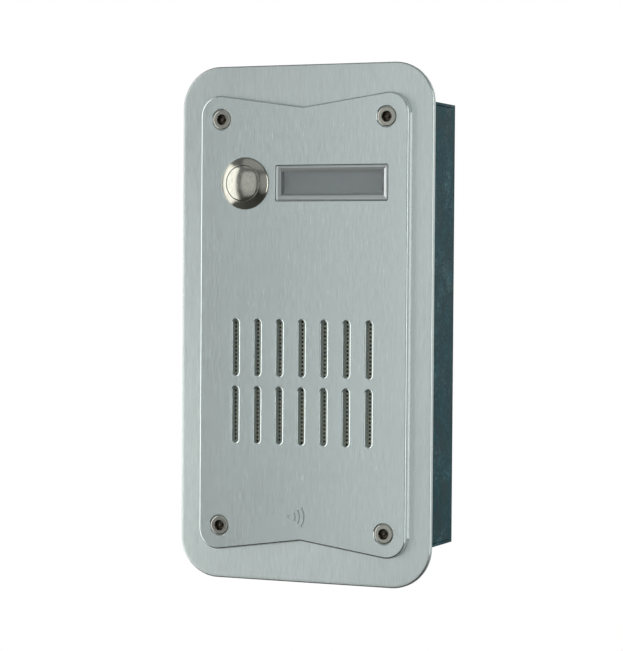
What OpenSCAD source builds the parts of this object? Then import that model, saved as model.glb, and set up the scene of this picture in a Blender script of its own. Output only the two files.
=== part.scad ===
// Vandal-resistant door intercom panel: one call button, a lit name window and a
// slotted speaker grille on a milled aluminium plate, over a flush back box.
//
// Frame: +X right, +Y into the wall, +Z up. The origin is the centre of the surround
// plate's rear face, which lies on the finished wall, so the plates stand at y < 0.

/* [Surround plate] */
// Width of the outer plate
surround_w = 118.4; // [116:0.2:124]
// Height of the outer plate
surround_h = 225; // [222:1:232]
// Thickness of the outer plate
surround_t = 2.5; // [2.4:0.1:3]
// Corner radius of the outer plate
surround_r = 18; // [12:1:20]
// Rounding of the outer plate's front edge
surround_edge = 0.8; // [0.4:0.1:1]

/* [Front plate] */
// Width of the front plate across its straight sides
panel_w = 97.8; // [97:0.2:99]
// Thickness of the front plate
panel_t = 3; // [3:0.1:3.4]
// Height of the four shoulders above the centre
panel_peak = 99.6; // [99:0.2:101]
// Height of the shallow V at the middle of the top and bottom edges
panel_notch = 94; // [93.4:0.2:95]
// Corner radius of the front plate
panel_r = 9; // [8.6:0.2:9.4]
// Bevel around the front plate's front edge
panel_edge = 0.5; // [0.3:0.1:0.6]
// How far the cove at the foot of each straight side stands out
foot_w = 1; // [0.6:0.1:1.2]

/* [Speaker grille] */
// Number of slots across
slot_columns = 7; // [3:2:7]
// Distance between slot columns
slot_pitch = 10.5; // [10:0.1:10.6]
// Width of a slot
slot_w = 3.1; // [2.6:0.1:3.4]
// Length of a slot
slot_len = 24.6; // [22:0.2:25]
// Distance between the two rows of slots
row_pitch = 29.45; // [28.5:0.05:30]
// Height of the grille's middle
grille_z = -25.3; // [-26:0.1:-24.6]

/* [Call button] */
// Button centre, right of the middle
button_x = -27.3; // [-27.6:0.1:-27]
// Button centre, above the middle
button_z = 61.1; // [60:0.1:62]
// Diameter of the visible bezel
bezel_d = 22.8; // [22:0.1:23]
// Diameter of the moving cap
cap_d = 15.4; // [15:0.1:15.6]
// Travel of the cap
button_travel = 1.8; // [1:0.1:1.8]

/* [Name window] */
// Window centre, right of the middle
window_x = 13.6; // [13.4:0.1:13.8]
// Window centre, above the middle
window_z = 61.05; // [60:0.05:62]
// Width of the window's opening
window_w = 53; // [50:0.5:53]
// Height of the window's opening
window_h = 15.7; // [14:0.1:16]

/* [Back box] */
// Width of the sheet-metal box
box_w = 104; // [100:1:104]
// Height of the sheet-metal box
box_h = 193.2; // [192:0.2:194]
// Depth of the box behind the wall face
box_d = 45; // [42:1:60]
// Thickness of the galvanised sheet
sheet_t = 1.2; // [1:0.1:1.5]

/* [Wall fixing] */
// Distance between fixing holes, across
fixing_x = 60; // [50:1:70]
// Distance between fixing holes, up and down
fixing_z = 130; // [110:1:130]
// Diameter of a fixing hole
fixing_d = 5.2; // [4.2:0.1:6]
// Diameter of the cable that the grommet takes
cable_d = 9; // [6:0.5:10]

/* [Hidden] */
$fn = 64;
sides = [-1, 1];
eps = 0.01;

// Depths along Y, from front to back
surround_y = -surround_t;
panel_y = surround_y - panel_t;
pocket_y = -0.4;
tab_rear_y = pocket_y + sheet_t;
mesh_y = surround_y + 0.6;
cloth_y = mesh_y + 0.4;
clamp_y = cloth_y + 1.2;
gasket_y = clamp_y + 0.8;
flange_y = gasket_y + 1;
board_y = 10;
board_rear_y = board_y + 1.6;

// Front plate outline: the sloped edges are tangent to the corner arcs
corner_x = panel_w / 2 - panel_r;
corner_z = panel_peak - panel_r;
notch_reach = norm([corner_x, panel_notch - corner_z]);
slope = asin(panel_r / notch_reach) - atan((panel_notch - corner_z) / corner_x);
groove_y = panel_y + 0.85;
groove_w = 0.3;
groove_depth = 0.2;
cove_y = groove_y + groove_w;
cove_h = surround_y - 0.15 - cove_y;
cove_r = (pow(foot_w, 2) + pow(cove_h, 2)) / (2 * foot_w);

// Surround opening, just inside the front plate's gasket
opening_x = 44;
opening_z = 81;
gasket_x = 46.3;
gasket_z = 83;
gasket_w = 2.2;

// Cover screws: M5 countersunk with a pin-and-lobe security drive
screw_x = 38.9;
screw_z = 89.1;
screw_head_d = 8.7;
screw_sink = 0.3;
screw_d = 4.9;
nut_bore_d = 5.05;

// Plate screws under the front plate: M4 countersunk, into nuts in the box's tabs
tab_screw_x = 20;
tab_screw_z = 88;
tab_x = 30;
tab_z = 82.5;

// Button: a 19 mm threaded barrel
barrel_d = 18.8;
barrel_bore_d = cap_d + 0.3;
barrel_rear_y = 7;
seal_y = panel_y - 0.3;
bezel_wall_y = seal_y - 0.4;
bezel_top_y = bezel_wall_y - 2.1;
bezel_dome_y = (pow(barrel_bore_d / 2, 2) + pow(bezel_top_y, 2)
    - pow(bezel_d / 2, 2) - pow(bezel_wall_y, 2)) / (2 * (bezel_top_y - bezel_wall_y));
bezel_dome_r = norm([bezel_d / 2, bezel_wall_y - bezel_dome_y]);
cap_edge_y = bezel_top_y + 0.1;
cap_rise = 1.45;
cap_dome_r = (pow(cap_d / 2, 2) + pow(cap_rise, 2)) / (2 * cap_rise);
stem_d = 6;
web_y = [-1, 1];
spring_y = [-6.45, -1.02];
contact_y = 6.3;
bridge_y = contact_y - button_travel - 0.5;

// Speaker: 50 mm paper cone with four ears
frame_r = 26;
ear_x = 15.75;
ear_z = 26;
speaker_studs = [for (i = sides, k = sides) [i * ear_x, grille_z + k * ear_z]];
clamp_studs = [for (i = sides, z = [6.5, -57]) [i * 36.75, z]];
holder_studs = [for (x = [-2, 30]) [x, 75.6]];
spacers = [for (i = sides, z = [30, -70]) [i * 34, z]];
mic_x = 31.5;
mic_z = -36;
mic_hole_r = 3.2;

// Name window and its lit holder
card_w = 52;
card_h = 16;
guide_w = 50;
guide_h = 14.8;
lamp_w = 48;
lamp_h = 12.8;
holder_w = 57.2;
holder_bottom = 50.6;
holder_top = 71.6;
holder_rear_y = 1.5;
lamp_board_y = [holder_rear_y, holder_rear_y + 1.2];

// Main board
board_w = 77;
board_z = [-75, 35];
magnet_hole_r = 16;
speaker_lead_z = 1.4;
terminal_pitch = 5.08;
terminal_count = 6;
terminal_z = [-73.5, -65.5];
terminal_rear_y = board_rear_y + 10;
trimmers = [[-26, -54], [26, -54]];
trimmer_r = 2.6;
trimmer_y = [board_rear_y, board_rear_y + 4.2];
rotor_y = [board_rear_y + 1.6, board_rear_y + 4.4];
header_rear_y = board_rear_y + 6;
headers = [[-27.3, 27], [8, 5.6], [33.4, 22], [31.5, -29]];
pin_pitch = 2.5;
lead_r = 0.6;

// Centre lines of the pairs of leads, from each part to its header
button_lead = [[0, 27.04, 61.1], [0, 30, 61.1], [0, 32, 58], [0, 32, 50], [0, 28, 38],
    [0, 24, 29], [0, 20.5, 27], [0, 17.64, 27]];
speaker_lead = [[0, 5.84, 1.4], [0, 8, 1.4], [0, 14, 1.4], [3, 20, 2], [6, 22, 4],
    [8, 20.5, 5.6], [8, 17.64, 5.6]];
lamp_lead = [[33.4, 2.74, 61], [33.4, 6, 61], [33.4, 9, 56], [33.4, 12, 44],
    [33.4, 17, 31], [33.4, 20, 23.4], [33.4, 19, 22], [33.4, 17.64, 22]];
mic_lead = [[31.5, 4, -36], [31.5, 8, -36], [31.5, 14, -36], [31.5, 20, -34.5],
    [31.5, 21.5, -31.5], [31.5, 20, -29], [31.5, 17.64, -29]];

// ---- Drawing helpers -------------------------------------------------------------

// A flat outline in X and Z, as thick as the depths from y0 to y1
module slab(y0, y1) {
    translate([0, y1, 0]) rotate([90, 0, 0]) linear_extrude(y1 - y0) children();
}

// A round bar or a cone along Y
module rod(x, z, y0, y1, r, r_end = undef) {
    translate([x, y0, z]) rotate([-90, 0, 0])
        cylinder(h = y1 - y0, r1 = r, r2 = is_undef(r_end) ? r : r_end);
}

// A profile drawn as radius and depth, turned about an axis along Y
module turned(x, z) {
    translate([x, 0, z]) rotate([-90, 0, 0]) rotate_extrude() children();
}

// A hexagonal bar along Y, given across its flats
module hex_bar(x, z, y0, y1, flats) {
    translate([x, y0, z]) rotate([-90, 0, 0])
        cylinder(h = y1 - y0, r = flats / sqrt(3), $fn = 6);
}

// A block from its corners
module block(x, y, z) {
    translate([x[0], y[0], z[0]]) cube([x[1] - x[0], y[1] - y[0], z[1] - z[0]]);
}

// A rectangle about the origin with round corners
module round_rect(w, h, r) {
    square([w - 2 * r, h], center = true);
    square([w, h - 2 * r], center = true);
    for (i = sides, k = sides) translate([i * (w / 2 - r), k * (h / 2 - r)]) circle(r);
}

// Two mirror copies, left and right, or top and bottom
module both_sides() {
    children();
    mirror([1, 0, 0]) children();
}
module both_ends() {
    children();
    mirror([0, 0, 1]) children();
}

// Depth profile of a plate out to a front edge that is rounded by e
module edge_profile(reach, y0, y1, e) {
    translate([0, y0 + e]) square([reach, y1 - y0 - e]);
    translate([0, y0]) square([reach - e, y1 - y0]);
    translate([reach - e, y0 + e]) circle(e);
}

// Rings swept along a smooth path through the given points, as one closed skin.
// ref is a direction that the path never runs along.
function blend(p, i, t) = let (
        a = p[max(i - 1, 0)], b = p[i], c = p[i + 1], d = p[min(i + 2, len(p) - 1)])
    0.5 * (2 * b + (c - a) * t + (2 * a - 5 * b + 4 * c - d) * pow(t, 2)
        + (3 * b - a - 3 * c + d) * pow(t, 3));
function smooth(p, steps) = [for (i = [0 : len(p) - 2], k = [0 : steps - 1])
    blend(p, i, k / steps), p[len(p) - 1]];
function along(p, i) = let (d = p[min(i + 1, len(p) - 1)] - p[max(i - 1, 0)]) d / norm(d);
module sweep(path, r, ref, n = 8) {
    last = len(path) - 1;
    points = [for (i = [0 : last])
        let (d = along(path, i), u = cross(d, ref) / norm(cross(d, ref)), v = cross(d, u))
        for (k = [0 : n - 1]) path[i] + r * (cos(360 * k / n) * u + sin(360 * k / n) * v)];
    skin = [for (i = [0 : last - 1], k = [0 : n - 1])
        let (a = i * n + k, b = i * n + (k + 1) % n)
        each [[a, a + n, b], [b, a + n, b + n]]];
    caps = [[for (k = [0 : n - 1]) k], [for (k = [n - 1 : -1 : 0]) last * n + k]];
    polyhedron(points, concat(skin, caps));
}

// Two leads side by side along one route
module lead_pair(route, x, gap_start, gap_end) {
    path = smooth(route, 3);
    last = len(path) - 1;
    for (i = sides) sweep([for (k = [0 : last]) let (t = k / last, ease = t * t * (3 - 2 * t))
        path[k] + [x + i * (gap_start + (gap_end - gap_start) * ease) / 2, 0, 0]],
        lead_r, [1, 0, 0]);
}

// ---- Wall side -------------------------------------------------------------------

// Sheet box outline with its rear edges bent to radius r, grown or shrunk by inset
module box_form(inset, y0, y1, r) {
    w = box_w - 2 * inset;
    h = box_h - 2 * inset;
    intersection() {
        linear_extrude(h, center = true) bent_section(w, y0, y1, r);
        rotate([0, 90, 0]) linear_extrude(w, center = true) bent_section(h, y0, y1, r);
    }
}
module bent_section(w, y0, y1, r) {
    translate([-w / 2, y0]) square([w, y1 - y0 - r]);
    translate([-w / 2 + r, y0]) square([w - 2 * r, y1 - y0]);
    for (i = sides) translate([i * (w / 2 - r), y1 - r]) circle(r);
}

module back_box() {
    bend_r = 2;
    seam = 0.3;
    color("darkslategray") difference() {
        union() {
            difference() {
                box_form(0, pocket_y, box_d, bend_r);
                box_form(sheet_t, pocket_y - 1, box_d - sheet_t, bend_r - sheet_t);
            }
            // Tabs folded inwards behind the surround plate
            both_ends() block([-tab_x, tab_x], [pocket_y, tab_rear_y],
                [tab_z, box_h / 2 - sheet_t / 2]);
        }
        // Open corner seams where the side walls meet the top and bottom walls
        both_ends() both_sides() block([box_w / 2 - sheet_t - eps, box_w / 2 + 1],
            [pocket_y - 1, box_d - 5],
            [box_h / 2 - sheet_t - seam, box_h / 2 - sheet_t]);
        for (i = sides, k = sides) {
            rod(i * fixing_x / 2, k * fixing_z / 2, box_d - 2, box_d + 1, fixing_d / 2);
            rod(i * tab_screw_x, k * tab_screw_z, pocket_y - 1, tab_rear_y + 1, 2.9);
        }
        rod(0, 45, box_d - 2, box_d + 1, 10);
        rod(42, -82, box_d - 2, box_d + 1, 2.5);
        // Scored knockouts in the top and bottom walls
        both_ends() translate([0, 22, box_h / 2 - 0.4]) difference() {
            cylinder(h = 1, r = 10.3);
            translate([0, 0, -1]) cylinder(h = 3, r = 9.9);
        }
    }
}

module surround_plate() {
    w = surround_w;
    h = surround_h;
    r = surround_r;
    color("silver") difference() {
        union() {
            linear_extrude(h - 2 * r, center = true)
                both_profiles(w / 2, surround_y, 0, surround_edge);
            rotate([0, 90, 0]) linear_extrude(w - 2 * r, center = true)
                both_profiles(h / 2, surround_y, 0, surround_edge);
            for (i = sides, k = sides) turned(i * (w / 2 - r), k * (h / 2 - r))
                edge_profile(r, surround_y, 0, surround_edge);
        }
        slab(surround_y - 1, 1) round_rect(2 * opening_x, 2 * opening_z, 4);
        // Shallow pocket that locates the box and leaves the rim to lie on the wall
        slab(pocket_y, 1) square([box_w + 0.4, box_h + 0.4], center = true);
        for (i = sides, k = sides) {
            rod(i * screw_x, k * screw_z, surround_y - 1, 1, 3.6);
            rod(i * tab_screw_x, k * tab_screw_z, surround_y - 1, 1, 2.2);
            rod(i * tab_screw_x, k * tab_screw_z, surround_y - eps, surround_y + 1.8,
                4, 2.2);
        }
    }
}
module both_profiles(reach, y0, y1, e) {
    edge_profile(reach, y0, y1, e);
    mirror([1, 0]) edge_profile(reach, y0, y1, e);
}

module surround_screws() {
    color("lightsteelblue") for (i = sides, k = sides) difference() {
        x = i * tab_screw_x;
        z = k * tab_screw_z;
        union() {
            rod(x, z, surround_y + 0.1, surround_y + 1.8, 3.8, 1.98);
            rod(x, z, surround_y + 1.8, 5.4, 1.98);
        }
        for (a = [0, 90]) translate([x, surround_y, z]) rotate([0, a, 0])
            cube([3.6, 2.4, 0.8], center = true);
    }
}

module tab_nuts() {
    color("lightsteelblue") for (i = sides, k = sides) difference() {
        union() {
            rod(i * tab_screw_x, k * tab_screw_z, pocket_y + 0.1, tab_rear_y, 2.86);
            hex_bar(i * tab_screw_x, k * tab_screw_z, tab_rear_y, tab_rear_y + 3, 7);
        }
        rod(i * tab_screw_x, k * tab_screw_z, -2, 6, 2.02);
    }
}

module cover_nuts() {
    color("lightsteelblue") for (i = sides, k = sides) difference() {
        union() {
            rod(i * screw_x, k * screw_z, surround_y + 0.5, pocket_y, 3.6);
            rod(i * screw_x, k * screw_z, pocket_y, pocket_y + 3, 4.6);
            rod(i * screw_x, k * screw_z, pocket_y + 3, pocket_y + 3.6, 4.6, 4);
        }
        rod(i * screw_x, k * screw_z, surround_y, 6, nut_bore_d / 2);
    }
}

// Rubber ring around the edge of the rear cable hole
module cable_grommet() {
    color("black") turned(0, 45) difference() {
        union() {
            translate([cable_d / 2, box_d - sheet_t - 3]) square([12.5 - cable_d / 2, 2.2]);
            translate([cable_d / 2, box_d - sheet_t - 3]) square([9.95 - cable_d / 2, 6]);
            translate([cable_d / 2, box_d]) square([11.5 - cable_d / 2, 1.6]);
            translate([9.9, box_d - sheet_t - 1]) square([2.1, 1]);
        }
        translate([12.5, box_d - sheet_t - 3]) circle(0.8);
    }
}

module earth_stud() {
    color("goldenrod") {
        rod(42, -82, box_d - sheet_t - eps, box_d, 2.46);
        rod(42, -82, box_d - 2.2, box_d - sheet_t, 4);
        rod(42, -82, box_d - 14, box_d - 2.2, 1.98);
    }
}

module earth_nut() {
    color("goldenrod") difference() {
        union() {
            hex_bar(42, -82, box_d - 7, box_d - 3.6, 7);
            rod(42, -82, box_d - 3.6, box_d - 2.8, 4.5);
        }
        rod(42, -82, box_d - 8, box_d - 2, 2);
    }
}

// ---- Front plate and what holds it -----------------------------------------------

// The plate without its feet: corner discs joined by straight and sloped edges
module panel_body() {
    side = panel_w / 2;
    top = [corner_x - panel_r * sin(slope), corner_z + panel_r * cos(slope)];
    for (i = sides, k = sides) rod(i * corner_x, k * corner_z, panel_y, surround_y, panel_r);
    slab(panel_y, surround_y) polygon([[0, panel_notch], top, [side, corner_z],
        [side, -corner_z], [top[0], -top[1]], [0, -panel_notch], [-top[0], -top[1]],
        [-side, -corner_z], [-side, corner_z], [-top[0], top[1]]]);
}

// The foot along each straight side, hollowed by a cove
module side_feet() {
    both_sides() linear_extrude(2 * corner_z, center = true) difference() {
        translate([panel_w / 2 - 1, cove_y]) square([1 + foot_w, surround_y - cove_y]);
        translate([panel_w / 2 + cove_r, cove_y - 0.001]) circle(cove_r, $fn = 96);
    }
}

// The fine groove above each foot
module side_grooves() {
    both_sides() linear_extrude(2 * corner_z, center = true)
        translate([panel_w / 2 - groove_depth, groove_y]) square([groove_depth + 1, groove_w]);
}

// Section of the cut that bevels a front edge lying at x = 0
module bevel_section() {
    over = 0.3;
    polygon([[over, panel_y - over], [over, panel_y + panel_edge + over],
        [-panel_edge - over, panel_y - over]]);
}

// Bevel around one quarter of the front edge: straight side, corner arc, sloped edge
module edge_bevel() {
    translate([panel_w / 2, 0, 0]) linear_extrude(corner_z) bevel_section();
    intersection() {
        turned(corner_x, corner_z) translate([panel_r, 0]) bevel_section();
        slab(panel_y - 1, panel_y + 2) translate([corner_x, corner_z])
            polygon([[0, 0], [20, 0], [20, 20], [0, 20], [-20 * sin(slope), 20 * cos(slope)]]);
    }
    intersection() {
        translate([0, 0, panel_notch]) rotate([0, 90 - slope, 0]) translate([0, 0, -1])
            linear_extrude(1 + sqrt(pow(notch_reach, 2) - pow(panel_r, 2)))
                mirror([1, 0]) bevel_section();
        block([0, 60], [panel_y - 1, panel_y + 2], [80, 110]);
    }
}

module front_plate() {
    color("silver") difference() {
        union() {
            panel_body();
            side_feet();
        }
        side_grooves();
        both_sides() both_ends() edge_bevel();
        panel_cuts();
    }
}

// A vertical slot with round ends and a chamfered mouth
module slot_cutter(x, z) {
    half = (slot_len - slot_w) / 2;
    lip = 0.25;
    slab(panel_y - 1, surround_y + 1) translate([x, z]) {
        square([slot_w, 2 * half], center = true);
        for (k = sides) translate([0, k * half]) circle(slot_w / 2);
    }
    for (k = sides) rod(x, z + k * half, panel_y - lip, panel_y + lip,
        slot_w / 2 + 2 * lip, slot_w / 2);
    translate([x, 0, z]) linear_extrude(2 * half, center = true) polygon([
        [-slot_w / 2 - 2 * lip, panel_y - lip], [slot_w / 2 + 2 * lip, panel_y - lip],
        [slot_w / 2, panel_y + lip], [-slot_w / 2, panel_y + lip]]);
}

// A plain engraved mark: a dot with three sound waves
module sound_mark() {
    slab(panel_y - 1, panel_y + 0.35) translate([-5, -83.6]) {
        circle(0.9);
        for (r = [2.8, 4.9, 7]) intersection() {
            difference() {
                circle(r + 0.4);
                circle(r - 0.4);
            }
            polygon([[0, 0], [12, -9], [12, 9]]);
        }
    }
}

module panel_cuts() {
    for (c = [-(slot_columns - 1) / 2 : (slot_columns - 1) / 2], k = sides)
        slot_cutter(c * slot_pitch, grille_z + k * row_pitch / 2);
    rod(button_x, button_z, panel_y - 1, surround_y + 1, 9.6);
    // Name window: opening, and a step behind it for the window's flange
    slab(panel_y - 1, surround_y + 1) translate([window_x, window_z])
        round_rect(window_w, window_h, 1);
    slab(surround_y - 1, surround_y + 1) translate([window_x, window_z])
        round_rect(window_w + 3, window_h + 3, 1);
    // Cover screws: countersink, clearance hole and room for the retaining washer
    for (i = sides, k = sides) {
        rod(i * screw_x, k * screw_z, panel_y - eps, panel_y + 2.2,
            screw_head_d / 2 + screw_sink + 0.15, 2.6);
        rod(i * screw_x, k * screw_z, panel_y, surround_y + 1, 2.6);
        rod(i * screw_x, k * screw_z, surround_y - 0.8, surround_y + 1, 4.4);
    }
    gasket_ring(surround_y - 1, surround_y + 1, gasket_w);
    sound_mark();
}

// The ring in which the gasket lies
module gasket_ring(y0, y1, w) {
    slab(y0, y1) difference() {
        round_rect(2 * gasket_x + w, 2 * gasket_z + w, 4);
        round_rect(2 * gasket_x - w, 2 * gasket_z - w, 2);
    }
}

module panel_gasket() {
    color("dimgray") gasket_ring(surround_y - 1, surround_y, gasket_w - 0.1);
}

module cover_screws() {
    neck_y = panel_y + screw_sink + (screw_head_d - screw_d) / 2;
    color("rosybrown") for (i = sides, k = sides) difference() {
        union() {
            rod(i * screw_x, k * screw_z, panel_y + screw_sink, neck_y,
                screw_head_d / 2, screw_d / 2);
            rod(i * screw_x, k * screw_z, neck_y, pocket_y + 5.5, screw_d / 2);
        }
        slab(panel_y - 1, panel_y + 1.9) translate([i * screw_x, k * screw_z])
            difference() {
                union() {
                    circle(1.75);
                    for (a = [0 : 60 : 300]) rotate(a) translate([1.75, 0]) circle(0.5);
                }
                circle(0.7);
            }
    }
}

// Nylon rings that keep the cover screws on the front plate
module retaining_washers() {
    color("white") for (i = sides, k = sides) difference() {
        rod(i * screw_x, k * screw_z, surround_y - 0.75, surround_y - 0.1, 4.3);
        rod(i * screw_x, k * screw_z, surround_y - 1, surround_y, screw_d / 2);
    }
}

module stud(p, y_end) {
    rod(p[0], p[1], surround_y, surround_y + 0.5, 2.2);
    rod(p[0], p[1], surround_y + 0.5, y_end, 1.45);
}

module weld_studs() {
    color("lightsteelblue") {
        for (p = speaker_studs) stud(p, flange_y + 3.6);
        for (p = clamp_studs) stud(p, clamp_y + 3.6);
        for (p = holder_studs) stud(p, 3.6);
        for (p = spacers) stud(p, 2.5);
    }
}

module stud_nut(p, y) {
    difference() {
        hex_bar(p[0], p[1], y, y + 2.4, 5.5);
        rod(p[0], p[1], y - 1, y + 3, 1.47);
    }
}

module stud_nuts() {
    color("lightsteelblue") {
        for (p = speaker_studs) stud_nut(p, flange_y);
        for (p = clamp_studs) stud_nut(p, clamp_y);
        for (p = holder_studs) stud_nut(p, 0.5);
    }
}

// ---- Grille stack and speaker ----------------------------------------------------

module grille_sheet(y0, y1, w, z0, z1, hole_r) {
    difference() {
        block([-w / 2, w / 2], [y0, y1], [z0, z1]);
        for (p = concat(speaker_studs, clamp_studs)) rod(p[0], p[1], y0 - 1, y1 + 1, hole_r);
    }
}

module grille_mesh() {
    color("gray") grille_sheet(surround_y, mesh_y, 80, -60.5, 10, 2.4);
}

module acoustic_cloth() {
    color("black") grille_sheet(mesh_y, cloth_y, 80, -60.5, 10, 2.4);
}

module grille_clamp() {
    color("lightsteelblue") difference() {
        grille_sheet(cloth_y, clamp_y, 80, -60.5, 10, 1.6);
        rod(0, grille_z, cloth_y - 1, clamp_y + 1, 22.5);
        rod(mic_x, mic_z, cloth_y - 1, clamp_y + 1, 4);
        // Windows that let the slots beyond the speaker breathe
        for (i = sides, z = [-11, -49.5]) slab(cloth_y - 1, clamp_y + 1)
            translate([i * 31.5, z]) round_rect(5, 16, 2.4);
    }
}

// Outline of the speaker's flange: a disc with four drilled ears
module flange_outline(inner_r) {
    difference() {
        union() {
            circle(frame_r);
            for (i = sides, k = sides) rotate(atan2(k * ear_z, i * ear_x))
                translate([norm([ear_x, ear_z]) / 2, 0])
                    square([norm([ear_x, ear_z]), 8], center = true);
            for (i = sides, k = sides) translate([i * ear_x, k * ear_z]) circle(4);
        }
        circle(inner_r);
        for (i = sides, k = sides) translate([i * ear_x, k * ear_z]) circle(1.6);
    }
}

module speaker_gasket() {
    color("dimgray") slab(clamp_y, gasket_y) translate([0, grille_z]) flange_outline(23.8);
}

module speaker_frame() {
    basket_rear = 9.8;
    color("slategray") difference() {
        union() {
            slab(gasket_y, flange_y) translate([0, grille_z]) flange_outline(23.5);
            turned(0, grille_z) polygon([[23.5, flange_y - 0.2], [24.4, flange_y - 0.2],
                [24.4, flange_y + 0.6], [14.2, basket_rear - 0.8], [14.2, basket_rear],
                [7.4, basket_rear], [7.4, basket_rear - 0.8], [13.6, basket_rear - 0.8],
                [23.5, flange_y + 0.4]]);
        }
        // Six windows in the basket
        for (a = [30 : 60 : 330]) translate([0, 0, grille_z]) rotate([0, a, 0])
            block([15.4, 22], [flange_y + 0.8, 12], [-4.5, 4.5]);
    }
}

// Rubber roll between the cone's edge and the frame
module speaker_surround() {
    color("black") turned(0, grille_z) intersection() {
        difference() {
            translate([22, 1.4]) circle(1.7);
            translate([22, 1.7]) circle(1.3);
        }
        translate([20.2, -1]) square([3.3, 2.4]);
    }
}

// Corrugated disc that centres the coil
module speaker_spider() {
    color("orange") turned(0, grille_z) {
        translate([7.2, 8.3]) square([6.3, 0.3]);
        translate([12.6, 8.3]) square([0.9, 0.68]);
        for (r = [8.4, 9.9, 11.4]) translate([r, 8.45]) circle(0.4);
    }
}

module speaker_magnet() {
    color("dimgray") turned(0, grille_z) translate([8, 11.8]) square([5.8, 4.4]);
}

// Steel top plate, and back plate with its centre pole, as two pieces
module speaker_pole_pieces() {
    color("lightsteelblue") {
        turned(0, grille_z) translate([7.3, 9.8]) square([6.5, 2]);
        turned(0, grille_z) union() {
            translate([0, 16.2]) square([13.2, 1.8]);
            translate([0, 9.6]) square([6, 7]);
        }
    }
}

module speaker_tag_strip() {
    color("peru") difference() {
        block([-6, 6], [flange_y, flange_y + 1], [grille_z + 24.6, grille_z + 30]);
        for (i = sides) rod(i * 3.5, speaker_lead_z, 0, 4, 0.8);
    }
}

module speaker_tags() {
    color("goldenrod") for (i = sides) {
        rod(i * 3.5, speaker_lead_z, flange_y + 0.1, flange_y + 1.6, 0.8);
        rod(i * 3.5, speaker_lead_z, flange_y + 1.6, 5.8, 0.9);
    }
}

module speaker_cone() {
    color("black") turned(0, grille_z) {
        polygon([[6.3, 7.2], [19.9, 1.9], [19.9, 2.3], [6.6, 7.6], [6.3, 7.6]]);
        // Dust cap
        intersection() {
            difference() {
                translate([0, 13.4]) circle(9.6);
                translate([0, 13.4]) circle(9.3);
            }
            translate([0, 2]) square([6.9, 4.8]);
        }
        translate([6.3, 6.5]) square([0.5, 1]);
    }
}

module voice_coil() {
    color("peru") turned(0, grille_z) {
        translate([6.35, 7.6]) square([0.25, 5]);
        translate([6.6, 9.8]) square([0.3, 2.6]);
    }
}

// ---- Call button -----------------------------------------------------------------

module button_body() {
    bore = barrel_bore_d / 2;
    color("gainsboro") turned(button_x, button_z) {
        translate([bore, seal_y]) square([barrel_d / 2 - bore, barrel_rear_y - seal_y]);
        translate([bore, bezel_wall_y]) square([bezel_d / 2 - bore, seal_y - bezel_wall_y]);
        intersection() {
            translate([0, bezel_dome_y]) circle(bezel_dome_r, $fn = 128);
            translate([bore, bezel_top_y - 1]) square([bezel_d / 2 - bore, 3.2]);
        }
        translate([stem_d / 2 + 0.06, web_y[0]]) square([5.5, web_y[1] - web_y[0]]);
    }
}

module button_seal() {
    color("black") turned(button_x, button_z) translate([9.65, seal_y]) square([1.4, 0.3]);
}

module button_nut() {
    color("lightsteelblue") difference() {
        translate([button_x, 0, button_z]) rotate([0, 30, 0])
            hex_bar(0, 0, surround_y, 0.8, 22);
        rod(button_x, button_z, surround_y - 1, 2, barrel_d / 2 + 0.02);
    }
}

module button_housing() {
    color("darkslategray") difference() {
        union() {
            rod(button_x, button_z, 6.4, barrel_rear_y, barrel_bore_d / 2 - 0.05);
            rod(button_x, button_z, barrel_rear_y, 18, 8.6);
            rod(button_x, button_z, 18, 19, 8.6, 7.8);
        }
        for (i = sides) rod(button_x + i * 4.5, button_z, 6, 20, 1);
    }
}

module button_terminals() {
    color("goldenrod") for (i = sides) {
        x = button_x + i * 4.5;
        rod(x, button_z, contact_y, 6.4, 1.4);
        rod(x, button_z, 6.4, 19, 1);
        block([x - 0.4, x + 0.4], [19, 24], [button_z - 1.4, button_z + 1.4]);
        rod(x, button_z, 23.5, 27, 1.1);
    }
}

// Domed cap with its guide skirt and stem
module button_cap() {
    dome_y = cap_edge_y - cap_rise + cap_dome_r;
    color("whitesmoke") turned(button_x, button_z) {
        intersection() {
            translate([0, dome_y]) circle(cap_dome_r, $fn = 128);
            translate([0, cap_edge_y - 3]) square([cap_d / 2, 3.2]);
        }
        translate([0, cap_edge_y + 0.1]) square([cap_d / 2, 1.6]);
        translate([6.3, cap_edge_y + 1]) square([cap_d / 2 - 6.3, 3.6]);
        difference() {
            translate([0, cap_edge_y + 1]) square([stem_d / 2, bridge_y - cap_edge_y - 0.5]);
            translate([stem_d / 2 - 0.4, web_y[1] + 0.05]) square([1, 0.6]);
        }
    }
}

module button_spring() {
    turns = 5;
    steps = 14;
    r = 4.6;
    wire = 0.3;
    y0 = spring_y[0] + wire + 0.02;
    y1 = spring_y[1] - wire - 0.02;
    color("silver") translate([button_x, 0, button_z]) sweep([for (i = [0 : turns * steps])
        [r * cos(360 * i / steps), y0 + (y1 - y0) * i / (turns * steps),
        r * sin(360 * i / steps)]], wire, [0, 1, 0]);
}

module button_circlip() {
    color("silver") slab(web_y[1] + 0.06, web_y[1] + 0.6)
        translate([button_x, button_z]) difference() {
            circle(4.4);
            circle(stem_d / 2 - 0.35);
            translate([-1, 0]) square([2, 6]);
        }
}

module contact_bridge() {
    color("goldenrod") turned(button_x, button_z)
        translate([stem_d / 2, bridge_y]) square([3, 0.45]);
}

// ---- Name window -----------------------------------------------------------------

// Space inside a frame that narrows from w0 x h0 at depth y0 to w1 x h1 at y1
module tapered_pocket(y0, y1, w0, h0, w1, h1) {
    intersection() {
        linear_extrude(h0, center = true)
            polygon([[-w0 / 2, y0], [w0 / 2, y0], [w1 / 2, y1], [-w1 / 2, y1]]);
        rotate([0, 90, 0]) linear_extrude(w0, center = true)
            polygon([[-h0 / 2, y0], [h0 / 2, y0], [h1 / 2, y1], [-h1 / 2, y1]]);
    }
}

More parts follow.
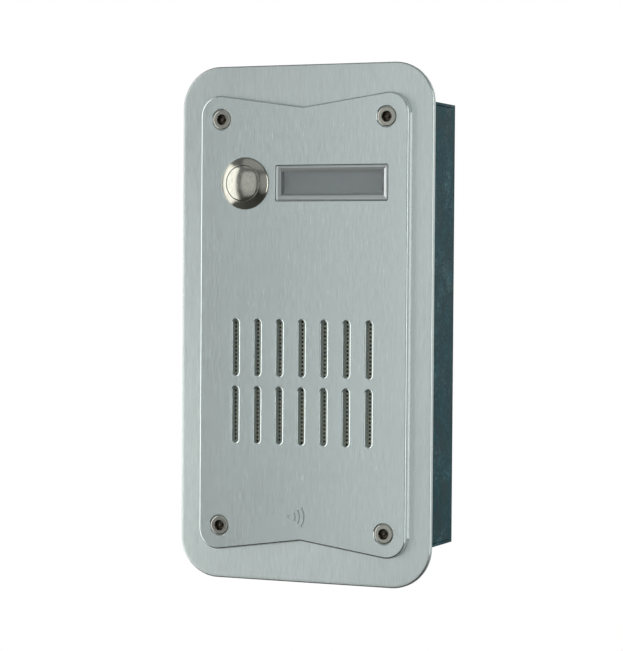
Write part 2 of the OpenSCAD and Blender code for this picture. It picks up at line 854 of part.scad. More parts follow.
module name_window() {
    rim = 1;
    bevel = 1.3;
    w = window_w - 0.2;
    h = window_h - 0.2;
    color("lightblue", 0.5) difference() {
        union() {
            slab(panel_y + 0.05, surround_y - 0.9) translate([window_x, window_z])
                round_rect(w, h, 0.9);
            slab(surround_y - 1, surround_y) translate([window_x, window_z])
                round_rect(window_w + 2.8, window_h + 2.8, 0.9);
        }
        translate([window_x, 0, window_z]) {
            tapered_pocket(panel_y, panel_y + 0.7, w - 2 * rim, h - 2 * rim,
                w - 2 * rim - 2 * bevel, h - 2 * rim - 2 * bevel);
            block([-30, 30], [panel_y - 1, panel_y + 0.05], [-10, 10]);
        }
    }
}

module name_card() {
    color("whitesmoke") block([window_x - card_w / 2, window_x + card_w / 2],
        [surround_y + 0.05, surround_y + 0.4],
        [window_z - card_h / 2, window_z + card_h / 2]);
}

module card_holder() {
    x0 = window_x - holder_w / 2;
    x1 = window_x + holder_w / 2;
    color("black") difference() {
        union() {
            block([x0, x1], [surround_y, holder_rear_y], [holder_bottom, holder_top]);
            // Ears over the studs
            for (p = holder_studs) slab(surround_y, 0.5) {
                translate([p[0] - 5, holder_top - 1]) square([10, p[1] - holder_top + 1]);
                translate(p) circle(5);
            }
            // Clips that hold the lamp board
            for (i = sides) {
                clip(window_x + i * 18, window_z + 8.6, 1);
                clip(window_x + i * 18, window_z - 8.6, -1);
            }
        }
        for (p = holder_studs) {
            rod(p[0], p[1], surround_y - 1, 2, 1.6);
            rod(p[0], p[1], surround_y - 1, surround_y + 0.6, 2.4);
        }
        // Slot for the card, open at the bottom
        block([window_x - card_w / 2 - 0.2, window_x + card_w / 2 + 0.2],
            [surround_y - 1, surround_y + 0.5], [holder_bottom - 1, window_z + card_h / 2 + 0.2]);
        block([window_x - guide_w / 2, window_x + guide_w / 2], [surround_y, 0],
            [window_z - guide_h / 2, window_z + guide_h / 2]);
        block([window_x - lamp_w / 2, window_x + lamp_w / 2], [-1, 3],
            [window_z - lamp_h / 2, window_z + lamp_h / 2]);
    }
}

// A clip at the edge of the lamp board; dir is +1 above the board and -1 below
module clip(x, z, dir) {
    root = [z, z + dir * 1.2];
    lip = [z - dir * 0.8, z + dir * 1.2];
    block([x - 2, x + 2], [0.5, 3.6], [min(root), max(root)]);
    block([x - 2, x + 2], [lamp_board_y[1], 3.6], [min(lip), max(lip)]);
}

module light_guide() {
    color("white", 0.8) block([window_x - guide_w / 2 + 0.1, window_x + guide_w / 2 - 0.1],
        [surround_y + 0.5, -0.02],
        [window_z - guide_h / 2 + 0.1, window_z + guide_h / 2 - 0.1]);
}

module lamp_board() {
    color("darkgreen") block([window_x - 26, window_x + 26], lamp_board_y,
        [window_z - 8.5, window_z + 8.5]);
}

module lamp_leds() {
    color("lightyellow") for (x = [-18, -6, 6, 18]) difference() {
        block([window_x + x - 1.75, window_x + x + 1.75], [0.2, lamp_board_y[0]],
            [window_z - 1.4, window_z + 1.4]);
        rod(window_x + x, window_z, 0, 0.5, 1.1, 0.9);
    }
}

// ---- Main board ------------------------------------------------------------------

module main_board() {
    color("darkgreen") difference() {
        block([-board_w / 2, board_w / 2], [board_y, board_rear_y], board_z);
        rod(0, grille_z, 9, 13, magnet_hole_r);
        for (p = spacers) rod(p[0], p[1], 9, 13, 1.6);
        slab(9, 13) translate([0, speaker_lead_z]) round_rect(9.6, 2.6, 1.2);
        rod(mic_x, mic_z, 9, 13, 2.6);
    }
}

module board_spacers() {
    color("lightsteelblue") for (p = spacers) difference() {
        hex_bar(p[0], p[1], surround_y, board_y, 5.5);
        rod(p[0], p[1], surround_y - 1, surround_y + 0.5, 2.2);
        rod(p[0], p[1], surround_y, 3, 1.47);
        rod(p[0], p[1], 5, board_y + 1, 1.47);
    }
}

module board_screws() {
    color("lightsteelblue") for (p = spacers) difference() {
        union() {
            rod(p[0], p[1], board_y - 4, board_rear_y, 1.45);
            rod(p[0], p[1], board_rear_y, board_rear_y + 1.3, 2.75);
            rod(p[0], p[1], board_rear_y + 1.3, board_rear_y + 1.9, 2.75, 2);
        }
        for (a = [0, 90]) translate([p[0], board_rear_y + 2, p[1]]) rotate([0, a, 0])
            cube([3, 2, 0.6], center = true);
    }
}

function terminal_x(i) = (i - (terminal_count - 1) / 2) * terminal_pitch;

// Screw terminal block: wires enter from below, screws are turned from behind
module line_terminals() {
    half = terminal_count * terminal_pitch / 2;
    color("limegreen") difference() {
        union() {
            block([-half, half], [board_rear_y, terminal_rear_y], terminal_z);
            block([-half, half], [board_rear_y, board_rear_y + 5],
                [terminal_z[0], terminal_z[1] + 1]);
        }
        for (i = [0 : terminal_count - 1]) {
            rod(terminal_x(i), -69, terminal_rear_y - 4, terminal_rear_y + 1, 2);
            block([terminal_x(i) - 1.6, terminal_x(i) + 1.6],
                [board_rear_y + 1.5, board_rear_y + 4.9], [-75, -67]);
        }
    }
}

module terminal_screws() {
    color("silver") for (i = [0 : terminal_count - 1]) difference() {
        rod(terminal_x(i), -69, terminal_rear_y - 4, terminal_rear_y - 1.8, 1.9);
        translate([terminal_x(i), terminal_rear_y - 1.8, -69])
            cube([5, 1.4, 0.6], center = true);
    }
}

module audio_transformer() {
    y = board_rear_y;
    color("tan") {
        // Laminated core
        difference() {
            block([-34, -14], [y + 2, y + 14], [3, 20]);
            block([-30.5, -17.5], [y + 1, y + 15], [6, 17]);
        }
        // Wound bobbin through the core's window, on a footed base
        block([-26, -22], [y + 4, y + 12], [3, 20]);
        block([-30.3, -17.7], [y + 1, y + 15], [6.2, 16.8]);
        block([-33, -15], [y, y + 2], [4, 19]);
    }
}

module capacitor(x, z, r, h) {
    y = board_rear_y;
    difference() {
        union() {
            rod(x, z, y, y + 1.4, r);
            rod(x, z, y + 1.4, y + 1.9, r - 0.3);
            rod(x, z, y + 1.9, y + h, r);
        }
        for (a = [45, 135]) translate([x, y + h, z]) rotate([0, a, 0])
            cube([2 * r - 2.4, 0.5, 0.4], center = true);
    }
}

module capacitors() {
    color("navy") {
        capacitor(-6, 26, 4, 11.5);
        capacitor(4, 26, 4, 11.5);
        capacitor(17, 24, 5, 12.5);
        capacitor(-22, -66, 3.2, 8);
    }
}

// A package with gull-wing or straight legs along its two long sides
module chip(x, z, w, h, t, legs) {
    y = board_rear_y;
    block([x - w / 2, x + w / 2], [y + 0.4, y + 0.4 + t], [z - h / 2, z + h / 2]);
    for (i = [0 : legs - 1], k = sides) {
        lx = x + (i - (legs - 1) / 2) * w / legs;
        lz = z + k * (h / 2 + 0.5);
        block([lx - 0.25, lx + 0.25], [y, y + 0.4 + t / 2], [lz - 0.5, lz + 0.5]);
    }
}

module amplifier_chips() {
    color("black") {
        chip(-24, -10, 19, 6.4, 3.3, 8);
        chip(24, -12, 10, 4, 1.7, 7);
        chip(-24, -36, 10, 4, 1.7, 7);
    }
}

module board_headers() {
    color("white") for (p = headers) difference() {
        block([p[0] - 3.2, p[0] + 3.2], [board_rear_y, header_rear_y], [p[1] - 2.2, p[1] + 2.2]);
        block([p[0] - 2.4, p[0] + 2.4], [board_rear_y + 3, header_rear_y - 1],
            [p[1] + 1.4, p[1] + 3]);
    }
}

module trimmer_bodies() {
    color("royalblue") for (p = trimmers) difference() {
        block([p[0] - 3.4, p[0] + 3.4], trimmer_y, [p[1] - 3.4, p[1] + 3.4]);
        rod(p[0], p[1], rotor_y[0] - 0.05, trimmer_y[1] + 1, trimmer_r);
    }
}

// Slotted adjuster with a pointer notch
module trimmer_rotor(p) {
    difference() {
        rod(p[0], p[1], rotor_y[0], rotor_y[1], trimmer_r - 0.06);
        translate([p[0], rotor_y[1], p[1]]) cube([0.8, 1.6, 4], center = true);
        translate([p[0], rotor_y[1], p[1] + 2.2]) cube([1.6, 0.8, 1.4], center = true);
    }
}
module volume_rotor() {
    color("white") trimmer_rotor(trimmers[0]);
}
module mic_gain_rotor() {
    color("white") trimmer_rotor(trimmers[1]);
}

// ---- Microphone ------------------------------------------------------------------

module mic_boot() {
    color("black") turned(mic_x, mic_z) difference() {
        union() {
            translate([0, cloth_y]) square([3.9, 4.5]);
            translate([0, clamp_y]) square([4.8, 1.4]);
        }
        translate([-1, cloth_y - 1]) square([2, 6]);
        translate([-1, cloth_y + 1]) square([1 + mic_hole_r, 6]);
    }
}

module microphone() {
    color("silver") difference() {
        rod(mic_x, mic_z, cloth_y + 1, 4, mic_hole_r);
        rod(mic_x, mic_z, cloth_y, cloth_y + 1.3, 0.8);
    }
}

// ---- Leads -----------------------------------------------------------------------

module button_leads() {
    color("crimson") lead_pair(button_lead, button_x, 9, pin_pitch);
}
module speaker_leads() {
    color("gold") lead_pair(speaker_lead, 0, 7, pin_pitch);
}
module lamp_leads() {
    color("orange") lead_pair(lamp_lead, 0, pin_pitch, pin_pitch);
}
module mic_leads() {
    color("white") lead_pair(mic_lead, 0, 3, pin_pitch);
}

back_box();
surround_plate();
surround_screws();
tab_nuts();
cover_nuts();
cable_grommet();
earth_stud();
earth_nut();
front_plate();
cover_screws();
retaining_washers();
panel_gasket();
weld_studs();
stud_nuts();
grille_mesh();
acoustic_cloth();
grille_clamp();
speaker_gasket();
speaker_frame();
speaker_surround();
speaker_spider();
speaker_magnet();
speaker_pole_pieces();
speaker_tag_strip();
speaker_tags();
speaker_cone();
voice_coil();
button_body();
button_seal();
button_nut();
button_housing();
button_terminals();
button_cap();
button_spring();
button_circlip();
contact_bridge();
name_window();
name_card();
card_holder();
light_guide();
lamp_board();
lamp_leds();
main_board();
board_spacers();
board_screws();
line_terminals();
terminal_screws();
audio_transformer();
capacitors();
amplifier_chips();
board_headers();
trimmer_bodies();
volume_rotor();
mic_gain_rotor();
mic_boot();
microphone();
button_leads();
speaker_leads();
lamp_leads();
mic_leads();
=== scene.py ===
"""Looks of a vandal-resistant door intercom panel: materials, fine geometry, light, camera.

The scene is in metres in the CAD frame: +X right, +Y into the wall, +Z up.
"""

import math

import bmesh
import bpy
from mathutils import Matrix, Vector


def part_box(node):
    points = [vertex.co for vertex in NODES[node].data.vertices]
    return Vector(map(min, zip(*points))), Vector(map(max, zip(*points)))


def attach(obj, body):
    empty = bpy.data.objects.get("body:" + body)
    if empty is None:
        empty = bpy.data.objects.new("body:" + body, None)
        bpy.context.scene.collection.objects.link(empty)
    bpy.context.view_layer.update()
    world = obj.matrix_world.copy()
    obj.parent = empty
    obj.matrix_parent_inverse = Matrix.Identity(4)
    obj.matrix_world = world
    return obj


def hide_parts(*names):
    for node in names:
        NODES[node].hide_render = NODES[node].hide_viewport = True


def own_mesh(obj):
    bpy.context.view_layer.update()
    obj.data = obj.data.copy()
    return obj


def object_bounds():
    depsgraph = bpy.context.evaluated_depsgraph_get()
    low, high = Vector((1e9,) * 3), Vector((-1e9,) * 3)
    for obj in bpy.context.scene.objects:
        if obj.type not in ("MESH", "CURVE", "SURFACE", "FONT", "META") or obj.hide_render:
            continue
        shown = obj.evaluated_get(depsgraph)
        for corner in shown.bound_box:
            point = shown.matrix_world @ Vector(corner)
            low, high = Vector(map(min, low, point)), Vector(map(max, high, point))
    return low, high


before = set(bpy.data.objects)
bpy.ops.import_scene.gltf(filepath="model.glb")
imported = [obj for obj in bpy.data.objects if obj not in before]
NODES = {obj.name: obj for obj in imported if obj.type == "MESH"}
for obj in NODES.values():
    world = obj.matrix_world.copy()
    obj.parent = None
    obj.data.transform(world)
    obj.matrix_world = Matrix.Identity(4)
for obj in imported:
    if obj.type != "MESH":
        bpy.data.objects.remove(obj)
CAD_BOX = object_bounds()
MM = 0.001
SCENE = bpy.context.scene


# ---- Node graphs -------------------------------------------------------------------


class Graph:
    """Builds one material's nodes around a Principled shader, in object space."""

    def __init__(self, name):
        self.material = bpy.data.materials.new(name)
        self.material.use_nodes = True
        self.nodes = self.material.node_tree.nodes
        self.nodes.clear()
        self.links = self.material.node_tree.links
        self.shader = self.nodes.new("ShaderNodeBsdfPrincipled")
        output = self.nodes.new("ShaderNodeOutputMaterial")
        self.links.new(self.shader.outputs["BSDF"], output.inputs["Surface"])
        self.coords = self.nodes.new("ShaderNodeTexCoord").outputs["Object"]

    def put(self, node, socket, value):
        """Sets a socket to a number or colour, or links it to an output."""
        target = node.inputs[socket]
        if isinstance(value, bpy.types.NodeSocket):
            self.links.new(value, target)
        elif isinstance(value, (tuple, list)) and len(value) == 3 and target.type == "RGBA":
            target.default_value = (*value, 1)
        else:
            target.default_value = value

    def set(self, **values):
        """Shader sockets by name, with _ for a space."""
        for name, value in values.items():
            self.put(self.shader, name.replace("_", " "), value)

    def stretched(self, scale, offset=(0, 0, 0)):
        """Object coordinates times scale, which is features per metre along each axis."""
        node = self.nodes.new("ShaderNodeMapping")
        node.inputs["Scale"].default_value = scale
        node.inputs["Location"].default_value = offset
        self.links.new(self.coords, node.inputs["Vector"])
        return node.outputs["Vector"]

    def noise(self, scale, detail=3.0, roughness=0.55, distortion=0.0, offset=(0, 0, 0)):
        """Fractal noise; scale is one number, or one for each axis."""
        node = self.nodes.new("ShaderNodeTexNoise")
        node.inputs["Scale"].default_value = 1
        node.inputs["Detail"].default_value = detail
        node.inputs["Roughness"].default_value = roughness
        node.inputs["Distortion"].default_value = distortion
        scale = scale if isinstance(scale, tuple) else (scale,) * 3
        self.links.new(self.stretched(scale, offset), node.inputs["Vector"])
        return node.outputs["Fac"]

    def cells(self, scale, feature="F1", output="Distance", warp=0.0, offset=(0, 0, 0)):
        """Voronoi cells of feature; warp bends their edges."""
        node = self.nodes.new("ShaderNodeTexVoronoi")
        node.feature = feature
        node.inputs["Scale"].default_value = 1
        scale = scale if isinstance(scale, tuple) else (scale,) * 3
        vector = self.stretched(scale, offset)
        if warp:
            bend = self.nodes.new("ShaderNodeTexNoise")
            bend.inputs["Scale"].default_value = 1.7
            self.links.new(vector, bend.inputs["Vector"])
            mix = self.nodes.new("ShaderNodeMix")
            mix.data_type = "VECTOR"
            mix.inputs[0].default_value = warp
            self.links.new(vector, mix.inputs[4])
            self.links.new(bend.outputs["Color"], mix.inputs[5])
            vector = mix.outputs[1]
        self.links.new(vector, node.inputs["Vector"])
        return node.outputs[output]

    def wave(self, scale, direction="X", distortion=0.0):
        """Sine bands across an axis, about scale of them per metre."""
        node = self.nodes.new("ShaderNodeTexWave")
        node.bands_direction = direction
        node.inputs["Scale"].default_value = 1
        node.inputs["Distortion"].default_value = distortion
        self.links.new(self.stretched((scale / math.pi,) * 3), node.inputs["Vector"])
        return node.outputs["Fac"]

    def ramp(self, factor, stops):
        """Colours or greys at positions: [(0.3, 0.1), (0.7, (r, g, b))]."""
        node = self.nodes.new("ShaderNodeValToRGB")
        elements = node.color_ramp.elements
        while len(elements) < len(stops):
            elements.new(0.5)
        for element, (at, colour) in zip(elements, stops):
            element.position = at
            colour = colour if isinstance(colour, tuple) else (colour,) * 3
            element.color = (*colour, 1)
        self.links.new(factor, node.inputs["Fac"])
        return node.outputs["Color"]

    def math(self, operation, a, b, clamp=False):
        """Arithmetic on two numbers or outputs."""
        node = self.nodes.new("ShaderNodeMath")
        node.operation = operation
        node.use_clamp = clamp
        for socket, value in ((0, a), (1, b)):
            self.put(node, socket, value)
        return node.outputs["Value"]

    def mix(self, factor, a, b, blend="MIX"):
        """Colour a with b laid over it by factor."""
        node = self.nodes.new("ShaderNodeMix")
        node.data_type = "RGBA"
        node.blend_type = blend
        for socket, value in ((0, factor), (6, a), (7, b)):
            self.put(node, socket, value)
        return node.outputs[2]

    def axis(self, which):
        """Position along an object axis, in metres."""
        node = self.nodes.new("ShaderNodeSeparateXYZ")
        self.links.new(self.coords, node.inputs["Vector"])
        return node.outputs[which]

    def slope(self, which):
        """The surface normal's component along an object axis."""
        geometry = self.nodes.new("ShaderNodeNewGeometry")
        turn = self.nodes.new("ShaderNodeVectorTransform")
        turn.vector_type = "NORMAL"
        turn.convert_from, turn.convert_to = "WORLD", "OBJECT"
        self.links.new(geometry.outputs["True Normal"], turn.inputs["Vector"])
        node = self.nodes.new("ShaderNodeSeparateXYZ")
        self.links.new(turn.outputs["Vector"], node.inputs["Vector"])
        return node.outputs[which]

    def bump(self, height, depth):
        """Relief of the given depth in metres, stacked on any relief already there."""
        node = self.nodes.new("ShaderNodeBump")
        node.inputs["Distance"].default_value = depth
        self.links.new(height, node.inputs["Height"])
        before = self.shader.inputs["Normal"].links
        if before:
            self.links.new(before[0].from_socket, node.inputs["Normal"])
        self.links.new(node.outputs["Normal"], self.shader.inputs["Normal"])
        return self


# ---- Materials ---------------------------------------------------------------------

# Slope per metre of a change between two finishes, which takes 0.05 mm
SHARP = 2e4


def brushed(name, colour, roughness, grain, streak=0.06, cloud=0.04, anisotropic=0.6,
            relief=0.6e-6, cut_from=None, painted_shade_rate=None):
    """Metal with fine parallel scratches; grain is scratches per metre along each axis.

    Behind the depth cut_from, in metres along Y, the metal is as the milling cutter left it.
    The last argument is a painted shade: how fast the tone darkens per metre along X and along Z,
    standing in for light that falls off there.
    """
    g = Graph(name)
    fine = g.noise(grain, 4, 0.7)
    broad = g.noise(tuple(k / 4 for k in grain), 3, 0.6, offset=(3, 1, 2))
    hazy = g.noise(22, 3, 0.5, offset=(1, 7, 4))
    lines = g.math("ADD", g.math("MULTIPLY", fine, 0.8), g.math("MULTIPLY", broad, 0.2))
    low = tuple(c * (1 - streak) for c in colour)
    high = tuple(min(c * (1 + streak), 1) for c in colour)
    tone = g.ramp(lines, [(0.3, low), (0.7, high)])
    haze = g.ramp(hazy, [(0.3, 1 - cloud), (0.7, 1.0)])
    base = g.mix(1.0, tone, haze, "MULTIPLY")
    rough = g.ramp(lines, [(0.25, roughness * 0.85), (0.75, roughness * 1.15)])
    g.set(Anisotropic=anisotropic, Metallic=1.0)
    # Painted shade: the tone darkens along X and Z at the given rates, in place of light that
    # falls off across the plate
    if painted_shade_rate:
        level = g.math("ADD", g.math("MULTIPLY", g.axis("X"), painted_shade_rate[0]),
                       g.math("MULTIPLY", g.axis("Z"), painted_shade_rate[1]))
        base = g.mix(1.0, base, g.ramp(level, [(0.1, 1.0), (0.75, 0.77)]), "MULTIPLY")
    if cut_from is not None:
        cut = g.math("MULTIPLY", g.math("SUBTRACT", g.axis("Y"), cut_from), SHARP, clamp=True)
        chatter = g.noise(1900, 3, 0.6, offset=(8, 4, 6))
        milled = g.ramp(chatter, [(0.3, tuple(c * 0.85 for c in colour)),
                                  (0.7, tuple(min(c * 1.15, 1) for c in colour))])
        base = g.mix(cut, base, milled)
        rough = g.mix(cut, rough, (0.42, 0.42, 0.42))
        g.set(Metallic=g.math("SUBTRACT", 1.0, g.math("MULTIPLY", cut, 0.6)))
    g.set(Base_Color=base, Roughness=rough)
    tangent = g.nodes.new("ShaderNodeTangent")
    tangent.direction_type = "RADIAL"
    tangent.axis = "Z"
    g.links.new(tangent.outputs["Tangent"], g.shader.inputs["Tangent"])
    return g.bump(lines, relief)


def polished(name, colour, roughness, haze=0.05, scratch=0.25, satin=0.0):
    """Plated or turned metal: faint haze, hair scratches and finger smears.

    satin is how much of a fine upright brushing lies over it, from 0 to 1.
    """
    g = Graph(name)
    smear = g.noise(140, 5, 0.6, 0.4)
    hair = g.noise((9000, 900, 5000), 2, 0.8, offset=(5, 2, 1))
    spots = g.noise(1500, 3, 0.5)
    low = tuple(c * (1 - haze) for c in colour)
    tone = g.ramp(smear, [(0.35, low), (0.65, colour)])
    if satin:
        brush = g.noise((4200, 4200, 420), 3, 0.7, offset=(2, 6, 3))
        shadow = g.ramp(brush, [(0.35, 1 - 0.22 * satin), (0.65, 1.0)])
        tone = g.mix(1.0, tone, shadow, "MULTIPLY")
        g.bump(brush, 1.2e-6 * satin)
    g.set(Base_Color=tone, Metallic=1.0)
    wear = g.math("ADD", g.math("MULTIPLY", smear, 0.7), g.math("MULTIPLY", hair, 0.3))
    g.set(Roughness=g.ramp(wear, [(0.35, roughness * (1 - scratch)),
                                  (0.7, roughness * (1 + scratch))]))
    g.bump(hair, 0.25e-6)
    return g.bump(spots, 0.6e-6)


def zinc(name, colour, roughness=0.32):
    """Electroplated zinc with a faint blue and yellow tarnish."""
    g = Graph(name)
    tarnish = g.noise(260, 4, 0.6, 0.8)
    grit = g.noise(4200, 3, 0.7)
    warm = (colour[0] * 1.04, colour[1], colour[2] * 0.86)
    cool = (colour[0] * 0.86, colour[1] * 0.95, colour[2] * 1.04)
    g.set(Base_Color=g.ramp(tarnish, [(0.3, warm), (0.5, colour), (0.72, cool)]), Metallic=1.0)
    g.set(Roughness=g.ramp(g.mix(0.5, tarnish, grit),
                           [(0.3, roughness * 0.8), (0.7, roughness * 1.3)]))
    return g.bump(grit, 1.2e-6)


def galvanised(name):
    """Dark passivated zinc sheet: crystal spangle, curled scratches and rubbed speckle."""
    g = Graph(name)
    spangle = g.cells(240, output="Color", warp=0.5)
    feather = g.noise((900, 900, 240), 4, 0.65, 2.0)
    grit = g.noise(700, 5, 0.7, 1.4, offset=(9, 5, 2))
    curls = g.cells(420, "DISTANCE_TO_EDGE", warp=0.95, offset=(4, 1, 8))
    scratch = g.ramp(curls, [(0.0, 1.0), (0.045, 0.0)])
    patchy = g.ramp(g.noise(95, 4, 0.6, 0.5, offset=(2, 9, 3)), [(0.42, 0.0), (0.6, 1.0)])
    speck = g.ramp(g.noise(2600, 3, 0.6, offset=(7, 3, 5)), [(0.64, 0.0), (0.72, 1.0)])
    marks = g.math("MAXIMUM", g.math("MULTIPLY", scratch, patchy),
                   g.math("MULTIPLY", speck, 0.6), clamp=True)
    drift = g.noise(14, 3, 0.6, offset=(3, 3, 3))
    skin = g.math("ADD", g.math("MULTIPLY", feather, 0.35), g.math("MULTIPLY", grit, 0.5))
    base = g.ramp(g.math("ADD", skin, g.math("MULTIPLY", spangle, 0.15)),
                  [(0.38, (0.006, 0.034, 0.041)), (0.5, (0.020, 0.070, 0.083)),
                   (0.62, (0.062, 0.152, 0.176))])
    base = g.mix(g.ramp(drift, [(0.4, 0.0), (0.65, 0.4)]), base, (0.018, 0.050, 0.052))
    g.set(Base_Color=g.mix(g.math("MULTIPLY", marks, 0.6), base, (0.17, 0.33, 0.37)),
          Metallic=0.25, Specular_IOR_Level=0.07)
    g.set(Roughness=g.ramp(g.math("ADD", g.math("MULTIPLY", feather, 0.5),
                                  g.math("MULTIPLY", spangle, 0.5)),
                           [(0.3, 0.42), (0.8, 0.68)]))
    g.bump(feather, 2e-6)
    return g.bump(marks, -3e-6)


def moulded(name, colour, roughness=0.5, texture=2600, relief=2.5e-6, mottle=0.12, coat=0.0):
    """Moulded plastic or rubber: a sparked skin with slight flow marks and rubbed gloss."""
    g = Graph(name)
    skin = g.noise(texture, 3, 0.6)
    flow = g.noise((60, 60, 190), 3, 0.6, 0.6)
    dust = g.noise(480, 5, 0.7, offset=(6, 2, 9))
    low = tuple(c * (1 - mottle) for c in colour)
    high = tuple(min(c * (1 + mottle), 1) for c in colour)
    tone = g.ramp(flow, [(0.3, low), (0.7, high)])
    pale = tuple(min(c + 0.05, 1) for c in colour)
    g.set(Base_Color=g.mix(g.ramp(dust, [(0.55, 0.0), (0.8, 0.35)]), tone, pale))
    g.set(Roughness=g.ramp(g.mix(0.6, flow, skin),
                           [(0.3, roughness * 0.85), (0.7, min(roughness * 1.15, 1))]))
    if coat:
        g.set(Coat_Weight=coat, Coat_Roughness=0.12)
    return g.bump(skin, relief)


def woven(name, dark, light, threads):
    """Plain weave of so many threads per metre along X and Z, with slubs in the yarn."""
    g = Graph(name)
    warp = g.wave(threads, "X", 0.25)
    weft = g.wave(threads, "Z", 0.25)
    over = g.ramp(g.math("MULTIPLY", warp, weft), [(0.1, 0.0), (0.6, 1.0)])
    slub = g.noise(900, 4, 0.7)
    height = g.math("ADD", over, g.math("MULTIPLY", slub, 0.5))
    g.set(Base_Color=g.ramp(height, [(0.3, dark), (1.0, light)]), Roughness=0.9,
          Sheen_Weight=0.25)
    return g.bump(height, 30e-6)


def paper(name, colour, fibre=1600, roughness=0.75, relief=8e-6):
    """Card or pressed pulp, with fibres and faint clouds."""
    g = Graph(name)
    fibres = g.noise((fibre, fibre * 0.4, fibre * 0.3), 5, 0.7, 1.2)
    cloud = g.noise(170, 4, 0.6)
    low = tuple(c * 0.86 for c in colour)
    tone = g.ramp(g.mix(0.5, fibres, cloud), [(0.3, low), (0.7, colour)])
    g.set(Base_Color=tone, Roughness=g.ramp(fibres, [(0.3, roughness), (0.7, 0.95)]))
    return g.bump(fibres, relief)


def circuit_board(name):
    """Green solder mask over copper tracks, with glass weave showing at the skin."""
    g = Graph(name)
    across = g.wave(380, "X")
    down = g.wave(300, "Z")
    sector = g.cells((55, 1, 45), output="Color")
    choice = g.ramp(sector, [(0.45, 0.0), (0.5, 1.0)])
    tracks = g.ramp(g.mix(choice, across, down), [(0.62, 0.0), (0.7, 1.0)])
    ground = g.ramp(g.cells((38, 1, 30), output="Color", offset=(2, 0, 5)),
                    [(0.72, 0.0), (0.76, 1.0)])
    copper = g.math("MAXIMUM", tracks, ground, clamp=True)
    weave = g.math("MULTIPLY", g.wave(1500, "X"), g.wave(1500, "Z"))
    vias = g.ramp(g.cells((240, 1, 240), offset=(1, 0, 1)), [(0.10, 1.0), (0.14, 0.0)])
    sparse = g.ramp(g.noise(90, 2, offset=(5, 5, 5)), [(0.52, 0.0), (0.56, 1.0)])
    pads = g.math("MULTIPLY", vias, sparse)
    mask = g.mix(copper, (0.008, 0.075, 0.034), (0.022, 0.165, 0.066))
    mask = g.mix(g.math("MULTIPLY", weave, 0.18), mask, (0.05, 0.16, 0.08))
    g.set(Base_Color=g.mix(pads, mask, (0.62, 0.60, 0.55)), Metallic=pads,
          Roughness=g.ramp(weave, [(0.2, 0.28), (0.8, 0.42)]), Coat_Weight=0.3,
          Coat_Roughness=0.2)
    g.bump(weave, 2e-6)
    return g.bump(copper, 25e-6)


def laminated(name):
    """Stacked iron laminations with a varnished, taped coil in the window."""
    g = Graph(name)
    leaf = g.wave(2000, "Y", 0.15)
    rust = g.noise(420, 4, 0.65, 0.6)
    stack = g.ramp(leaf, [(0.25, (0.09, 0.085, 0.08)), (0.6, (0.30, 0.29, 0.28))])
    stack = g.mix(g.ramp(rust, [(0.6, 0.0), (0.75, 0.5)]), stack, (0.20, 0.11, 0.06))
    g.set(Base_Color=stack, Metallic=0.8, Roughness=g.ramp(rust, [(0.3, 0.4), (0.7, 0.65)]))
    return g.bump(leaf, 12e-6)


def clear_plastic(name, rim_y):
    """Clear polycarbonate with fine rubs and ripple, frosted on its rim in front of rim_y."""
    g = Graph(name)
    rub = g.noise((500, 500, 2200), 4, 0.7, 0.5)
    ripple = g.noise(120, 3, 0.5)
    satin = g.math("MULTIPLY", g.math("SUBTRACT", rim_y, g.axis("Y")), SHARP, clamp=True)
    g.set(Base_Color=g.mix(satin, (0.90, 0.93, 0.93), (0.56, 0.60, 0.595)), IOR=1.58,
          Transmission_Weight=g.math("SUBTRACT", 0.92, g.math("MULTIPLY", satin, 0.8)),
          Metallic=g.math("MULTIPLY", satin, 0.35), Specular_IOR_Level=0.5)
    g.set(Roughness=g.ramp(rub, [(0.35, 0.05), (0.75, 0.2)]))
    g.bump(ripple, 3e-6)
    return g.bump(rub, 0.5e-6)


def glowing(name, colour, lens):
    """Opal or phosphor-filled plastic that scatters light; lens is its gloss, from 0 to 1."""
    g = Graph(name)
    depth = g.noise(700, 3, 0.6)
    low = tuple(c * 0.88 for c in colour)
    g.set(Base_Color=g.ramp(depth, [(0.35, low), (0.65, colour)]), Coat_Weight=lens,
          Coat_Roughness=0.08, Subsurface_Weight=0.35, Subsurface_Scale=0.002)
    g.set(Roughness=g.ramp(depth, [(0.3, 0.28), (0.7, 0.4)]))
    return g.bump(depth, 2e-6)


def sleeved(name):
    """Glossy shrink sleeve with a plain polarity stripe; bare aluminium on the vented end."""
    g = Graph(name)
    shrink = g.noise((300, 900, 300), 4, 0.6)
    end = g.ramp(g.slope("Y"), [(0.75, 0.0), (0.85, 1.0)])
    stripe = g.ramp(g.slope("Z"), [(0.90, 0.0), (0.93, 1.0)])
    body = g.ramp(shrink, [(0.3, (0.010, 0.020, 0.075)), (0.7, (0.022, 0.036, 0.12))])
    body = g.mix(stripe, body, (0.55, 0.56, 0.58))
    g.set(Base_Color=g.mix(end, body, (0.72, 0.73, 0.74)), Metallic=end, Coat_Weight=0.4,
          Coat_Roughness=0.1)
    g.set(Roughness=g.ramp(shrink, [(0.3, 0.22), (0.7, 0.36)]))
    return g.bump(shrink, 12e-6)


GRAIN_Z = (2900, 2900, 190)
